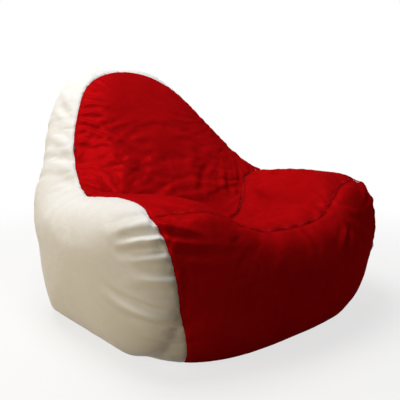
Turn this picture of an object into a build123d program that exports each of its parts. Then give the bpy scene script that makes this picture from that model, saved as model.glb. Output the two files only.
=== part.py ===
from build123d import *
from math import asin, cos, hypot, pi, radians, sin
import os

# Bean bag armchair: a two-colour sewn cover with a zip down the back, a liner with a zip of
# its own, and one body of beads. It faces -Y and +Z is up. The origin lies on the floor under
# the middle of the chair's box. All sizes are in millimetres.

os.makedirs("parts", exist_ok=True)


def finish(piece, name):
    """Give a piece its name and write it."""
    piece.part.label = name
    export_step(piece.part, "parts/" + name + ".step")


# ---------------------------------------------------------------- driving dimensions
MIDDLE_SHIFT = 38.6         # from the line that the sections are drawn about to the middle of the box

# Side: past SIDE_START each section shrinks towards the widest point of the side
HALF_WIDTH = 500
SIDE_START = 390
SIDE_POWER = 2.2
SIDE_Y = -77
SIDE_HEIGHT = 264
STATIONS = (0, 0.1, 0.25, 0.42, 0.56, 0.66, 0.72, 0.76, 0.785, 0.81, 0.844, 0.888, 0.923,
            0.951, 0.971, 0.9855, 0.995)

# Base on the floor
BASE_FRONT = 391
BASE_REAR = 440
BASE_HALF_WIDTH = 402
BASE_POWER = 3.4
BASE_SPARE = 3              # the sections reach this far below the floor and are trimmed flat

# Skirt below the front seam
SKIRT_FRONT = 502
SKIRT_HALF_WIDTH = 650
SKIRT_POWER = 2.1
SKIRT_LOW = 68
SKIRT_HIGH = 363
SKIRT_SWELL = 0.3
SKIRT_FOLLOW = 0.4          # share of the belly's height that follows the seam up the arm

# Front seam, between the skirt and the seat, and the arms that it climbs
SEAM_FRONT = 402
SEAM_HEIGHT = 321
ARM_X = 297
ARM_FRONT = 376
ARM_HEIGHT = 406
ARM_POWER = 2.8
ARM_SWELL = 30
SEAT_FRONT_REACH = 29
SEAT_FRONT_RISE = 52
SEAT_REAR_REACH = 233
SEAT_REAR_RISE = 28

# Crease, between the seat and the backrest
CREASE_Y = -71
CREASE_HEIGHT = 273
CREASE_ARM_Y = 70
CREASE_ARM_HEIGHT = 390
CREASE_POWER = 2.3

# Backrest and its crown
CROWN_Y = 445
CROWN_HEIGHT = 754
CROWN_SIDE_Y = 226
CROWN_SIDE_HEIGHT = 228
CROWN_HALF_WIDTH = 437
CROWN_POWER = 2.9
CROWN_FALL = 0.92
CROWN_SLOPE = 30            # degrees, where the backrest turns over the top
CROWN_REACH = 104
CROWN_RADIUS = 75
CROWN_LEAST = 0.45          # share of the radius that is left at the sides
CROWN_TURN = 0.8            # the crown's control points, in radii from its top
CROWN_REAR = (2.0, 0.55)
CROWN_DROP = (2.1, -1.2)
BACKREST_LOW = (99, 68)
BACKREST_HIGH = (116, 265)
BACKREST_LEAN = 0.3         # share of the way back to the crown that the upper backrest leans
TALL_LEAST = 0.02

# Rear: upright below the knee, leaning back above it
KNEE_HALF_WIDTH = 539
KNEE_POWER = 1.95
KNEE_SHARE = 0.5
KNEE_REACH = 138
KNEE_LEAST = 0.3            # share of the reach that is left at the sides
REAR_SWELL = 19

# Cloth
COVER = 1.2
LINER = 0.8
CLEARANCE = 0.3             # between the cover and the liner
BEAD_CLEARANCE = 0.8        # between the liner and the beads
SEAM_GAP = 0.3              # between two panels that are sewn together

# Seam between the red and the white cloth. In front view: backrest half and skirt half.
# In plan: along the top of the arm.
BACKREST_OUTLINE = ((96, 738), (176, 697), (229, 637), (293, 540), (330, 472), (354, 425))
OUTLINE_TOP = 752
SKIRT_OUTLINE = ((426, 425), (419, 375), (411, 290), (396, 190), (363, 83), (326, -20))
ARM_OUTLINE = ((332, 240), (366, 110), (372, 0), (376, -150), (408, -272), (428, -340))
PLAN_END = 650
SEAT_LID = 590              # above the seat and below the crown

# Back panels, in rear view
BACK_OUTLINE = ((110, 684), (215, 610), (300, 450), (338, 250), (318, -20))
BACK_TOP = 700
SPLIT_FOOT_Y = 150          # the front and the rear of the bag part at this sloping plane
SPLIT_HEAD_Y = 495
SPLIT_HEAD_HEIGHT = 760

# Zips
ZIP_BOTTOM = 44
ZIP_LENGTH = 300
LINER_ZIP_BOTTOM = 64
LINER_ZIP_LENGTH = 250
TAPE_WIDTH = 14
TAPE = 0.5
TOOTH_PITCH = 5
TOOTH_HEIGHT = 2.4
TOOTH_WIDTH = 2.4
TOOTH_REACH = 2.2
ROW_CORE = 1.6
ROW_GAP = 1.6               # between the two rows of teeth
SLIDER_WIDTH = 13
SLIDER_LENGTH = 16
SLIDER_PLATE = 1.1
SLIDER_FIT = 0.25
SLIDER_POST = 5
BRIDGE_LENGTH = 11
BRIDGE_WIDTH = 2
BRIDGE_HEIGHT = 3.2
BRIDGE_BAR = 1
PIN_DIAMETER = 1.4
PIN_FIT = 0.4
POST_FIT = 0.2
TAPE_GAP = 0.2
STOP_CHAMFER = 0.5
SLIDER_CORNER = 2
PULL_CORNER = 2
PULL_LENGTH = 26
PULL_WIDTH = 9
PULL_THICKNESS = 1.4
PULL_ARM = 1.3
STOP_LENGTH = 4
SLOT_MARGIN = 1             # from the slider to the edge of the cloth on each side
CHANNEL_DEPTH = 12.3        # room for both zips, between the cover and the liner
CHANNEL_WIDTH = 64
CHANNEL_MARGIN = 12
POCKET_DEPTH = 6            # behind the liner's zip, in the beads

# Carry loop on the crown and the bare tab in the side seam
LOOP_WIDTH = 38
LOOP_LENGTH = 95
LOOP_END_RADIUS = 14
LOOP_ROOT_RADIUS = 2.2
WEBBING = 1.6
TAB_SPAN = 3                # the tab is sewn in after this point of BACKREST_OUTLINE
TAB_LENGTH = 25
TAB_DEPTH = 10
TAB_THICKNESS = 1

# How the forms are cut and moved
MITRE_LEAST = 0.5           # an inner corner moves no further than this mitre lets it
SLOPE_MOST = 1.5            # nor a slanting wall further than this many times the cloth
SEAM_PAST = 1.3             # the seat's zone is bounded through the seams to this many times as far
CREASE_PAST = 1.4
REACH = 1200                # longer than the chair in any direction
FIT_STEPS = 8               # the cloth's face is measured at this many steps along what lies on it


# ---------------------------------------------------------------- form of the bag
def share(x, half_width, power):
    """Share of the middle's depth that is left at x, on a superellipse."""
    return max(0.001, 1 - min(0.9999, x / half_width) ** power) ** (1 / power)


def climb(x, power):
    """0 in the middle of the seat, 1 from the crest of the arm outwards."""
    return ((1 - cos(pi * min(x / ARM_X, 1))) / 2) ** power


def between(low, high, amount):
    return low + (high - low) * amount


def profile(x):
    """Six curves round the section at x, as control points (y, z) from the base's rear corner."""
    flat_x = min(abs(x), SIDE_START)
    over = max(0, abs(x) - SIDE_START) / (HALF_WIDTH - SIDE_START)
    closing = max(0, 1 - over ** SIDE_POWER) ** (1 / SIDE_POWER)
    arm = climb(flat_x, ARM_POWER)
    base = share(flat_x, BASE_HALF_WIDTH, BASE_POWER)
    skirt = share(flat_x, SKIRT_HALF_WIDTH, SKIRT_POWER)
    crown = (1 - min(flat_x / CROWN_HALF_WIDTH, 1) ** CROWN_POWER) ** CROWN_FALL

    front = (-BASE_FRONT * base, -BASE_SPARE)
    rear = (BASE_REAR * base, -BASE_SPARE)
    belly = -SKIRT_FRONT * skirt
    seam = (-between(SEAM_FRONT, ARM_FRONT, arm) * skirt, between(SEAM_HEIGHT, ARM_HEIGHT, arm))
    deep = climb(flat_x, CREASE_POWER)
    crease = (between(CREASE_Y, CREASE_ARM_Y, deep), between(CREASE_HEIGHT, CREASE_ARM_HEIGHT, deep))
    top = (between(CROWN_SIDE_Y, CROWN_Y, crown), between(CROWN_SIDE_HEIGHT, CROWN_HEIGHT, crown))
    tall = max((top[1] - crease[1]) / (CROWN_HEIGHT - CREASE_HEIGHT), TALL_LEAST)
    knee = (BASE_REAR * share(flat_x, KNEE_HALF_WIDTH, KNEE_POWER), top[1] * KNEE_SHARE)

    belly_height = SKIRT_HIGH * between(1 - SKIRT_FOLLOW, 1, seam[1] / SEAM_HEIGHT)
    skirt_curve = [front, (belly + SKIRT_SWELL * (belly - front[0]), SKIRT_LOW), (belly, belly_height), seam]

    seat_front = (seam[0] + SEAT_FRONT_REACH, seam[1] + between(SEAT_FRONT_RISE, ARM_SWELL, arm))
    seat_rear = (crease[0] - SEAT_REAR_REACH, crease[1] + between(SEAT_REAR_RISE, ARM_SWELL, arm))
    seat_curve = [seam, seat_front, seat_rear, crease]

    low = (crease[0] + BACKREST_LOW[0] * tall, crease[1] + BACKREST_LOW[1] * tall)
    high_y = crease[0] + BACKREST_HIGH[0] * tall + BACKREST_LEAN * (top[0] - crease[0])
    high = (high_y, crease[1] + BACKREST_HIGH[1] * tall)
    along = (cos(radians(CROWN_SLOPE)), sin(radians(CROWN_SLOPE)))
    before_top = (top[0] - CROWN_REACH * tall * along[0], top[1] - CROWN_REACH * tall * along[1])
    backrest_curve = [crease, low, high, before_top, top]

    round_size = CROWN_RADIUS * between(CROWN_LEAST, 1, tall)
    turn = CROWN_TURN * round_size
    after_top = (top[0] + turn * along[0], top[1] + turn * along[1])
    crown_rear = (top[0] + CROWN_REAR[0] * round_size, top[1] + CROWN_REAR[1] * round_size)
    crown_drop = (top[0] + CROWN_DROP[0] * round_size, top[1] + CROWN_DROP[1] * round_size)
    swell = REAR_SWELL * arm
    rear_high = (between(knee[0], rear[0], 1 / 3) + swell, between(knee[1], rear[1], 1 / 3))
    rear_low = (between(knee[0], rear[0], 2 / 3) + swell, between(knee[1], rear[1], 2 / 3))
    run = KNEE_REACH * between(KNEE_LEAST, 1, tall) / hypot(rear_high[0] - knee[0], rear_high[1] - knee[1])
    before_knee = (knee[0] + (knee[0] - rear_high[0]) * run, knee[1] + (knee[1] - rear_high[1]) * run)
    crown_curve = [top, after_top, crown_rear, crown_drop, before_knee, knee]
    rear_curve = [knee, rear_high, rear_low, rear]

    curves = [[rear, front], skirt_curve, seat_curve, backrest_curve, crown_curve, rear_curve]
    return [[(SIDE_Y + closing * (y - SIDE_Y) - MIDDLE_SHIFT, SIDE_HEIGHT + closing * (z - SIDE_HEIGHT))
             for y, z in curve] for curve in curves]


def section(x, inset):
    """The profile at x moved inwards by inset, measured square to the cloth."""
    outer_x = abs(x) * HALF_WIDTH / (HALF_WIDTH - inset)
    curves = profile(outer_x)
    loop = [point for curve in curves for point in curve[:-1]]
    beside = [point for curve in profile(outer_x + 1) for point in curve[:-1]]
    moved = []
    for index, (y, z) in enumerate(loop):
        before = loop[index - 1]
        after = loop[(index + 1) % len(loop)]
        length_in = hypot(y - before[0], z - before[1])
        length_out = hypot(after[0] - y, after[1] - z)
        normal_in = ((z - before[1]) / length_in, (before[0] - y) / length_in)
        normal_out = ((after[1] - z) / length_out, (y - after[0]) / length_out)
        mitre = max(MITRE_LEAST, 1 + normal_in[0] * normal_out[0] + normal_in[1] * normal_out[1])
        normal = ((normal_in[0] + normal_out[0]) / mitre, (normal_in[1] + normal_out[1]) / mitre)
        slope = (beside[index][0] - y) * normal[0] + (beside[index][1] - z) * normal[1]
        step = inset * min(hypot(1, slope), SLOPE_MOST)
        moved.append((y + step * normal[0], z + step * normal[1]))
    moved.append(moved[0])
    curves_inside = []
    start = 0
    for curve in curves:
        curves_inside.append(moved[start:start + len(curve)])
        start += len(curve) - 1
    return curves_inside


def outline(x, inset):
    """The closed line of the section at x: one edge for each curve, so that the sections loft alike."""
    plane = Plane.YZ.offset(x)
    edges = []
    for points in section(x, inset):
        corners = [plane.from_local_coords(point) for point in points]
        edges.append(Edge.make_bezier(*corners) if len(corners) > 2 else Edge.make_line(*corners))
    return Wire(edges)


def bag(inset):
    """The whole bag: half of it lofted from the middle to the side, cut at the floor and mirrored."""
    with BuildPart() as body:
        add(Solid.make_loft([outline(station * (HALF_WIDTH - inset), inset) for station in STATIONS]))
        add(block((-REACH, REACH), (-REACH, REACH), (inset, REACH)), mode=Mode.INTERSECT)
        mirror(about=Plane.YZ)
    return body.part


def block(x_range, y_range, z_range):
    """A box from its ranges."""
    middle = [(low + high) / 2 for low, high in (x_range, y_range, z_range)]
    sides = [high - low for low, high in (x_range, y_range, z_range)]
    return Pos(*middle) * Box(*sides, mode=Mode.PRIVATE)


def bezier_point(points, t):
    """The point (y, z) at t on the curve with these control points."""
    while len(points) > 1:
        points = [(between(a[0], b[0], t), between(a[1], b[1], t)) for a, b in zip(points, points[1:])]
    return points[0]


def point_at_height(curve, height):
    """The point on a curve that falls or climbs all the way, where it passes this height."""
    low, high = 0, 1
    climbing = curve[-1][1] > curve[0][1]
    for _ in range(40):
        middle = (low + high) / 2
        if (bezier_point(curve, middle)[1] < height) == climbing:
            low = middle
        else:
            high = middle
    return bezier_point(curve, low)


# ---------------------------------------------------------------- zones that cut the panels
def mirrored(points):
    """The points on the other side of x = 0, in the order that carries the line on."""
    return [(-x, other) for x, other in reversed(points)]


def grown(points, amount):
    """The points moved by amount to the left of the way that they run, square to it."""
    moved = []
    for index, (x, other) in enumerate(points):
        before = points[max(index - 1, 0)]
        after = points[min(index + 1, len(points) - 1)]
        run = hypot(after[0] - before[0], after[1] - before[1])
        step = (amount * (after[1] - before[1]) / run, amount * (after[0] - before[0]) / run)
        moved.append((x - step[0], other + step[1]))
    return moved


def outline_zone(crown, skirt, top, grow):
    """A prism along Y over an outline in front view: over the crown, out to the skirt and down."""
    over = grown(mirrored(crown) + [(0, top)] + list(crown), grow)
    down = grown(skirt, grow) if skirt else [over[-1]]
    shoulder = crown[-1][1] + grow
    over[0] = (over[0][0], shoulder)
    over[-1] = (over[-1][0], shoulder)
    down[0] = (down[0][0], shoulder)
    with BuildPart() as zone:
        with BuildSketch(Plane.XZ.offset(-REACH / 2)):
            with BuildLine():
                Spline(*over)
                if skirt:
                    Line(over[-1], down[0])
                    Spline(*down)
                    Spline(*mirrored(down))
                    Line(mirrored(down)[-1], over[0])
                Line(down[-1], mirrored(down)[0])
            make_face()
        extrude(amount=REACH)
    return zone.part


def front_zone(grow):
    """Where the cloth is red: inside the outline in front view and in plan, in front of the split."""
    arm = grown([(x, y - MIDDLE_SHIFT) for x, y in ARM_OUTLINE], grow)
    with BuildPart() as zone:
        with BuildSketch(Plane.XY.offset(-REACH / 2)):
            with BuildLine():
                Polyline(mirrored(arm)[-1], (-arm[0][0], PLAN_END), (arm[0][0], PLAN_END), arm[0])
                Spline(*arm)
                Polyline(arm[-1], (arm[-1][0], -PLAN_END), (-arm[-1][0], -PLAN_END), mirrored(arm)[0])
                Spline(*mirrored(arm))
            make_face()
        extrude(amount=REACH * 2)
        add(outline_zone(BACKREST_OUTLINE, SKIRT_OUTLINE, OUTLINE_TOP, grow), mode=Mode.INTERSECT)
        add(half_space(True), mode=Mode.INTERSECT)
    return zone.part


def half_space(front):
    """Everything in front of, or behind, the sloping plane through the bag."""
    edge = -REACH if front else REACH
    rise = (SPLIT_HEAD_Y - SPLIT_FOOT_Y) / SPLIT_HEAD_HEIGHT
    foot = SPLIT_FOOT_Y - MIDDLE_SHIFT
    with BuildPart() as half:
        with BuildSketch(Plane.YZ.offset(-REACH / 2)):
            Polygon(
                (edge, -REACH / 2),
                (foot - rise * REACH / 2, -REACH / 2),
                (foot + rise * REACH, REACH),
                (edge, REACH),
                align=None,
            )
        extrude(amount=REACH)
    return half.part


def back_zone(grow):
    """Where the two back panels lie."""
    with BuildPart() as zone:
        add(outline_zone(BACK_OUTLINE, (), BACK_TOP, grow))
        add(half_space(False), mode=Mode.INTERSECT)
    return zone.part


def seat_zone(gap):
    """Everything between the front seam and the crease, narrowed by gap at each."""
    with BuildPart() as zone:
        for station in STATIONS:
            curves = profile(station * HALF_WIDTH)
            seam = curves[2][0]
            crease = curves[2][-1]
            root = (SIDE_Y - MIDDLE_SHIFT, SIDE_HEIGHT / 2)
            seam_out = (between(root[0], seam[0], SEAM_PAST) + gap, between(root[1], seam[1], SEAM_PAST))
            crease_out = (between(root[0], crease[0], CREASE_PAST) - gap,
                          between(root[1], crease[1], CREASE_PAST))
            with BuildSketch(Plane.YZ.offset(station * HALF_WIDTH)):
                Polygon(
                    root,
                    seam_out,
                    (seam_out[0], SEAT_LID),
                    (crease_out[0], SEAT_LID),
                    crease_out,
                    align=None,
                )
        loft(ruled=True)
        mirror(about=Plane.YZ)
    return zone.part


# ---------------------------------------------------------------- places that follow from the above
REAR_FACE = BASE_REAR - MIDDLE_SHIFT
LINER_FACE = REAR_FACE - COVER - CHANNEL_DEPTH
SLOT_HALF = SLIDER_WIDTH / 2 + SLOT_MARGIN
ROW_INNER = ROW_GAP / 2
ROW_OUTER = ROW_INNER + TOOTH_REACH + ROW_CORE
TAPE_EDGE = ROW_OUTER + TAPE_WIDTH
CHANNEL_BOTTOM = ZIP_BOTTOM - CHANNEL_MARGIN
CHANNEL_TOP = ZIP_BOTTOM + ZIP_LENGTH + CHANNEL_MARGIN

outer_skin = bag(0)
cover_lining = bag(COVER)


def rear_at(solid, x, height):
    """y of the rear face of a solid at this place."""
    line = Edge.make_line((x, 0, height), (x, REACH, height))
    return max(vertex.Y for vertex in solid.intersect(line).vertices())


def steps(low, high, count):
    """Evenly spaced values from low to high."""
    return [between(low, high, index / count) for index in range(count + 1)]


def channel(grow):
    """The flat recess that the liner and the beads leave behind the cover's zip."""
    half = CHANNEL_WIDTH / 2 + grow
    return block((-half, half), (LINER_FACE - grow, REACH / 2), (CHANNEL_BOTTOM - grow, CHANNEL_TOP + grow))


# ---------------------------------------------------------------- cover
with BuildPart() as base_panel:
    add(outer_skin)
    add(block((-REACH, REACH), (-REACH, REACH), (-REACH, COVER)), mode=Mode.INTERSECT)
finish(base_panel, "base_panel")

with BuildPart() as shell:
    add(outer_skin)
    add(cover_lining, mode=Mode.SUBTRACT)
    add(block((-REACH, REACH), (-REACH, REACH), (-REACH, COVER)), mode=Mode.SUBTRACT)

with BuildPart() as red_cloth:
    add(shell.part)
    add(front_zone(0), mode=Mode.INTERSECT)

with BuildPart() as seat_panel:
    add(red_cloth.part)
    add(seat_zone(SEAM_GAP), mode=Mode.INTERSECT)
finish(seat_panel, "seat_panel")

with BuildPart() as red_rest:
    add(red_cloth.part)
    add(seat_zone(0), mode=Mode.SUBTRACT)

red_pieces = red_rest.part.solids().sort_by(Axis.Y)

with BuildPart() as front_panel:
    add(red_pieces[0])
finish(front_panel, "front_panel")

with BuildPart() as backrest_panel:
    add(red_pieces[-1])
finish(backrest_panel, "backrest_panel")

with BuildPart() as white_sides:
    add(shell.part)
    add(front_zone(SEAM_GAP), mode=Mode.SUBTRACT)
    add(back_zone(SEAM_GAP), mode=Mode.SUBTRACT)

with BuildPart() as white_back:
    add(shell.part)
    add(back_zone(0), mode=Mode.INTERSECT)
    slot_top = ZIP_BOTTOM + ZIP_LENGTH + STOP_LENGTH + SLOT_MARGIN
    slot_bottom = ZIP_BOTTOM - STOP_LENGTH - SLOT_MARGIN
    add(block((-SLOT_HALF, SLOT_HALF), (0, REACH), (slot_bottom, slot_top)), mode=Mode.SUBTRACT)

for side, word in ((-1, "left"), (1, "right")):
    edges = sorted((side * SEAM_GAP / 2, side * REACH))
    half_block = block(edges, (-REACH, REACH), (-REACH, REACH))
    with BuildPart() as side_panel:
        add(white_sides.part)
        add(half_block, mode=Mode.INTERSECT)
    finish(side_panel, "side_panel_" + word)
    with BuildPart() as back_panel:
        add(white_back.part)
        add(half_block, mode=Mode.INTERSECT)
    finish(back_panel, "back_panel_" + word)

# ---------------------------------------------------------------- liner and beads
liner_slot = (LINER_ZIP_BOTTOM - STOP_LENGTH - SLOT_MARGIN,
              LINER_ZIP_BOTTOM + LINER_ZIP_LENGTH + STOP_LENGTH + SLOT_MARGIN)

with BuildPart() as liner_room:
    add(bag(COVER + CLEARANCE + LINER))
    add(channel(LINER), mode=Mode.SUBTRACT)

with BuildPart() as inner_liner:
    add(bag(COVER + CLEARANCE))
    add(channel(0), mode=Mode.SUBTRACT)
    add(liner_room.part, mode=Mode.SUBTRACT)
    add(block((-SLOT_HALF, SLOT_HALF), (LINER_FACE - 2 * LINER, LINER_FACE + LINER), liner_slot),
        mode=Mode.SUBTRACT)
finish(inner_liner, "inner_liner")

with BuildPart() as bead_filling:
    add(bag(COVER + CLEARANCE + LINER + BEAD_CLEARANCE))
    add(channel(LINER + BEAD_CLEARANCE), mode=Mode.SUBTRACT)
    pocket_half = TAPE_EDGE + SLOT_MARGIN
    add(block((-pocket_half, pocket_half), (LINER_FACE - LINER - POCKET_DEPTH, LINER_FACE),
              (liner_slot[0] - SLOT_MARGIN, liner_slot[1] + SLOT_MARGIN)), mode=Mode.SUBTRACT)
finish(bead_filling, "bead_filling")

# ---------------------------------------------------------------- zips


def zip_fastener(name, lining, bottom, length):
    """A zip along Z, closed, whose tapes lie against a cloth with its inner face at y = lining."""
    middle = lining - TAPE_GAP - TAPE / 2
    top = bottom + length
    for side, word in ((-1, "left"), (1, "right")):
        with BuildPart() as tape:
            with BuildSketch(Plane.XZ.offset(-middle)):
                with Locations((side * (ROW_OUTER + TAPE_WIDTH / 2), (bottom + top) / 2)):
                    Rectangle(TAPE_WIDTH, length + 2 * STOP_LENGTH)
            extrude(amount=TAPE / 2, both=True)
        finish(tape, name + "_tape_" + word)

        with BuildPart() as teeth:
            with BuildSketch(Plane.XZ.offset(-middle)):
                with Locations((side * (ROW_OUTER - ROW_CORE / 2), (bottom + top) / 2)):
                    Rectangle(ROW_CORE, length)
                count = int(length / TOOTH_PITCH)
                stagger = side * TOOTH_PITCH / 4
                with Locations((side * (ROW_INNER + TOOTH_REACH / 2), (bottom + top) / 2 + stagger)):
                    with GridLocations(0, TOOTH_PITCH, 1, count - 1):
                        Rectangle(TOOTH_REACH, TOOTH_WIDTH)
            extrude(amount=TOOTH_HEIGHT / 2, both=True)
        finish(teeth, name + "_teeth_" + word)

    with BuildPart() as stops:
        with BuildSketch(Plane.XZ.offset(-middle)):
            with Locations((0, bottom - STOP_LENGTH / 2)):
                Rectangle(2 * ROW_OUTER, STOP_LENGTH)
            for side in (-1, 1):
                with Locations((side * (ROW_INNER + ROW_OUTER) / 2, top + STOP_LENGTH / 2)):
                    Rectangle(ROW_OUTER - ROW_INNER, STOP_LENGTH)
        extrude(amount=TOOTH_HEIGHT / 2, both=True)
        chamfer(stops.faces().sort_by(Axis.Y)[-1].edges(), STOP_CHAMFER)
    finish(stops, name + "_stops")

    slider_z = top - SLIDER_LENGTH / 2 - SLIDER_FIT
    room = TOOTH_HEIGHT / 2 + SLIDER_FIT
    outside = middle + room + SLIDER_PLATE
    with BuildPart() as slider:
        with BuildSketch(Plane.XZ.offset(-middle)):
            with Locations((0, slider_z)):
                RectangleRounded(SLIDER_WIDTH, SLIDER_LENGTH, SLIDER_CORNER)
        extrude(amount=room + SLIDER_PLATE, both=True)
        rail = ROW_OUTER + SLIDER_FIT
        add(block((-rail, rail), (middle - room, middle + room),
                  (slider_z - SLIDER_LENGTH, slider_z + SLIDER_LENGTH)), mode=Mode.SUBTRACT)
        tape_room = TAPE / 2 + SLIDER_FIT
        add(block((-SLIDER_WIDTH, SLIDER_WIDTH), (middle - tape_room, middle + tape_room),
                  (slider_z - SLIDER_LENGTH, slider_z + SLIDER_LENGTH)), mode=Mode.SUBTRACT)
        with BuildSketch(Plane.XZ.offset(-middle)):
            post_z = slider_z + SLIDER_LENGTH / 2 - SLIDER_POST / 2
            half = ROW_INNER - POST_FIT
            tip = SLIDER_POST / 2
            Polygon(
                (0, post_z - tip),
                (half, post_z),
                (half, post_z + tip),
                (-half, post_z + tip),
                (-half, post_z),
                align=None,
            )
        extrude(amount=room, both=True)
        bridge_half = BRIDGE_LENGTH / 2
        bar_low = outside + BRIDGE_HEIGHT - BRIDGE_BAR
        with BuildSketch(Plane.YZ.offset(-BRIDGE_WIDTH / 2)):
            with BuildLine():
                Polyline((outside, slider_z - bridge_half), (bar_low, slider_z - bridge_half),
                         (bar_low + BRIDGE_BAR, slider_z - bridge_half + BRIDGE_BAR),
                         (bar_low + BRIDGE_BAR, slider_z + bridge_half - BRIDGE_BAR),
                         (bar_low, slider_z + bridge_half), (outside, slider_z + bridge_half), close=True)
            make_face()
            with Locations(((outside + bar_low) / 2, slider_z)):
                Rectangle(bar_low - outside, BRIDGE_LENGTH - 2 * BRIDGE_BAR, mode=Mode.SUBTRACT)
        extrude(amount=BRIDGE_WIDTH)
    finish(slider, name + "_slider")

    pin_y = outside + PIN_FIT + PIN_DIAMETER / 2
    arm_inner = BRIDGE_WIDTH / 2 + SLIDER_FIT
    arm_outer = arm_inner + PULL_ARM
    tab_top = slider_z - bridge_half - BRIDGE_BAR
    with BuildPart() as pull:
        with BuildSketch(Plane.YZ.offset(-arm_outer)):
            with Locations((pin_y, slider_z)):
                Circle(PIN_DIAMETER / 2)
        extrude(amount=2 * arm_outer)
        with BuildSketch(Plane.XZ.offset(-pin_y)):
            for side in (-1, 1):
                with Locations((side * (arm_inner + arm_outer) / 2, (slider_z + tab_top) / 2)):
                    Rectangle(PULL_ARM, slider_z - tab_top)
            tab_bottom = slider_z - PULL_LENGTH
            with Locations((0, (tab_top + tab_bottom) / 2)):
                RectangleRounded(PULL_WIDTH, tab_top - tab_bottom, PULL_CORNER)
            with Locations((0, tab_bottom + PULL_WIDTH / 2)):
                SlotOverall(PULL_WIDTH - 2 * PULL_ARM, PULL_ARM, mode=Mode.SUBTRACT)
        extrude(amount=PULL_THICKNESS / 2, both=True)
    finish(pull, name + "_pull")


zip_ends = (ZIP_BOTTOM - STOP_LENGTH, ZIP_BOTTOM + ZIP_LENGTH + STOP_LENGTH)
cover_lining_y = min(rear_at(cover_lining, x, z)
                     for x in steps(ROW_OUTER, TAPE_EDGE, FIT_STEPS)
                     for z in steps(*zip_ends, FIT_STEPS))
zip_fastener("cover_zip", cover_lining_y, ZIP_BOTTOM, ZIP_LENGTH)
zip_fastener("liner_zip", LINER_FACE - LINER, LINER_ZIP_BOTTOM, LINER_ZIP_LENGTH)

# ---------------------------------------------------------------- carry loop
loop_drop = LOOP_LENGTH - LOOP_ROOT_RADIUS - LOOP_END_RADIUS
loop_lean = asin((LOOP_END_RADIUS - LOOP_ROOT_RADIUS) / loop_drop)


def loop_reach(down):
    """How far the loop's strap reaches to each side of its middle, at this share of the way down."""
    return between(LOOP_ROOT_RADIUS, LOOP_END_RADIUS, down) / cos(loop_lean)


loop_y = CLEARANCE + max(rear_at(outer_skin, x, BACK_TOP - down * loop_drop) + loop_reach(down)
                         for x in steps(0, LOOP_WIDTH / 2, FIT_STEPS)
                         for down in steps(0, 1, FIT_STEPS))

with BuildPart() as carry_loop:
    with BuildSketch(Plane.YZ.offset(-LOOP_WIDTH / 2)):
        with Locations((loop_y, BACK_TOP)):
            Circle(LOOP_ROOT_RADIUS)
        with Locations((loop_y, BACK_TOP - loop_drop)):
            Circle(LOOP_END_RADIUS)
        make_hull()
        offset(amount=-WEBBING, mode=Mode.SUBTRACT)
    extrude(amount=LOOP_WIDTH)
finish(carry_loop, "carry_loop")

# ---------------------------------------------------------------- bare tab in the left side seam


def on_backrest(x, height):
    """The point of the cover's backrest at x, on the left, and at this height."""
    y, z = point_at_height(profile(x)[3], height)
    return Vector(-x, y, z)


seam_above, seam_below = (on_backrest(*point) for point in BACKREST_OUTLINE[TAB_SPAN:TAB_SPAN + 2])
along_seam = (seam_above - seam_below).normalized()
tab_middle = (seam_above + seam_below) * 0.5
tab_x = abs(tab_middle.X)
across_seam = on_backrest(tab_x, tab_middle.Z + TAB_DEPTH) - on_backrest(tab_x, tab_middle.Z)
outwards = along_seam.cross(across_seam).normalized()

with BuildPart() as seam_tab:
    with BuildSketch(Plane(tab_middle, x_dir=along_seam, z_dir=along_seam.cross(outwards))):
        with Locations((0, CLEARANCE + TAB_DEPTH / 2)):
            Rectangle(TAB_LENGTH, TAB_DEPTH)
    extrude(amount=TAB_THICKNESS / 2, both=True)
finish(seam_tab, "seam_tab")
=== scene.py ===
from math import cos, exp, pi, sin

import bmesh
import bpy
import numpy as np
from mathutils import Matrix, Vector, noise
from mathutils.bvhtree import BVHTree
from mathutils.kdtree import KDTree


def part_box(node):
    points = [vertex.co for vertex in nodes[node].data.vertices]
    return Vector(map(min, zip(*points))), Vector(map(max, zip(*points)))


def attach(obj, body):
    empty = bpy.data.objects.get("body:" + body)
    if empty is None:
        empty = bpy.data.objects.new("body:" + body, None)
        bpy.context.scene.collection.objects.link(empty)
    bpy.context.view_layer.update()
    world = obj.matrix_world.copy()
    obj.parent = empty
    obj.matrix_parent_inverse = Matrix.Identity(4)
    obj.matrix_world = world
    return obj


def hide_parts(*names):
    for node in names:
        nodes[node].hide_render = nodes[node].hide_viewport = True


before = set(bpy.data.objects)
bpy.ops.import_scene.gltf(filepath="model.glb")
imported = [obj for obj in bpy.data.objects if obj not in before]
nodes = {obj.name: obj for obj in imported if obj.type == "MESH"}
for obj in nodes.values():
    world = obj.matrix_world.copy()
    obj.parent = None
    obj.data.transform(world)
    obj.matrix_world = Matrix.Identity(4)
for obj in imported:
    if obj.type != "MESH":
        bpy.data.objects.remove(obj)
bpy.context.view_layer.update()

# ---------------------------------------------------------------- sizes, in metres
PANELS = (
    ("seat_cloth", "seat_panel", "red_cloth"),
    ("front_cloth", "front_panel", "red_cloth"),
    ("backrest_cloth", "backrest_panel", "red_cloth"),
    ("side_cloth_left", "side_panel_left", "white_cloth"),
    ("side_cloth_right", "side_panel_right", "white_cloth"),
    ("back_cloth_left", "back_panel_left", "white_cloth"),
    ("back_cloth_right", "back_panel_right", "white_cloth"),
    ("base_cloth", "base_panel", "base_cloth"),
)
SEAT, FRONT, BACKREST, SIDE_LEFT, SIDE_RIGHT, BACK_LEFT, BACK_RIGHT, BASE = range(len(PANELS))
SIDES = (SIDE_LEFT, SIDE_RIGHT)
BACKS = (BACK_LEFT, BACK_RIGHT)

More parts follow.
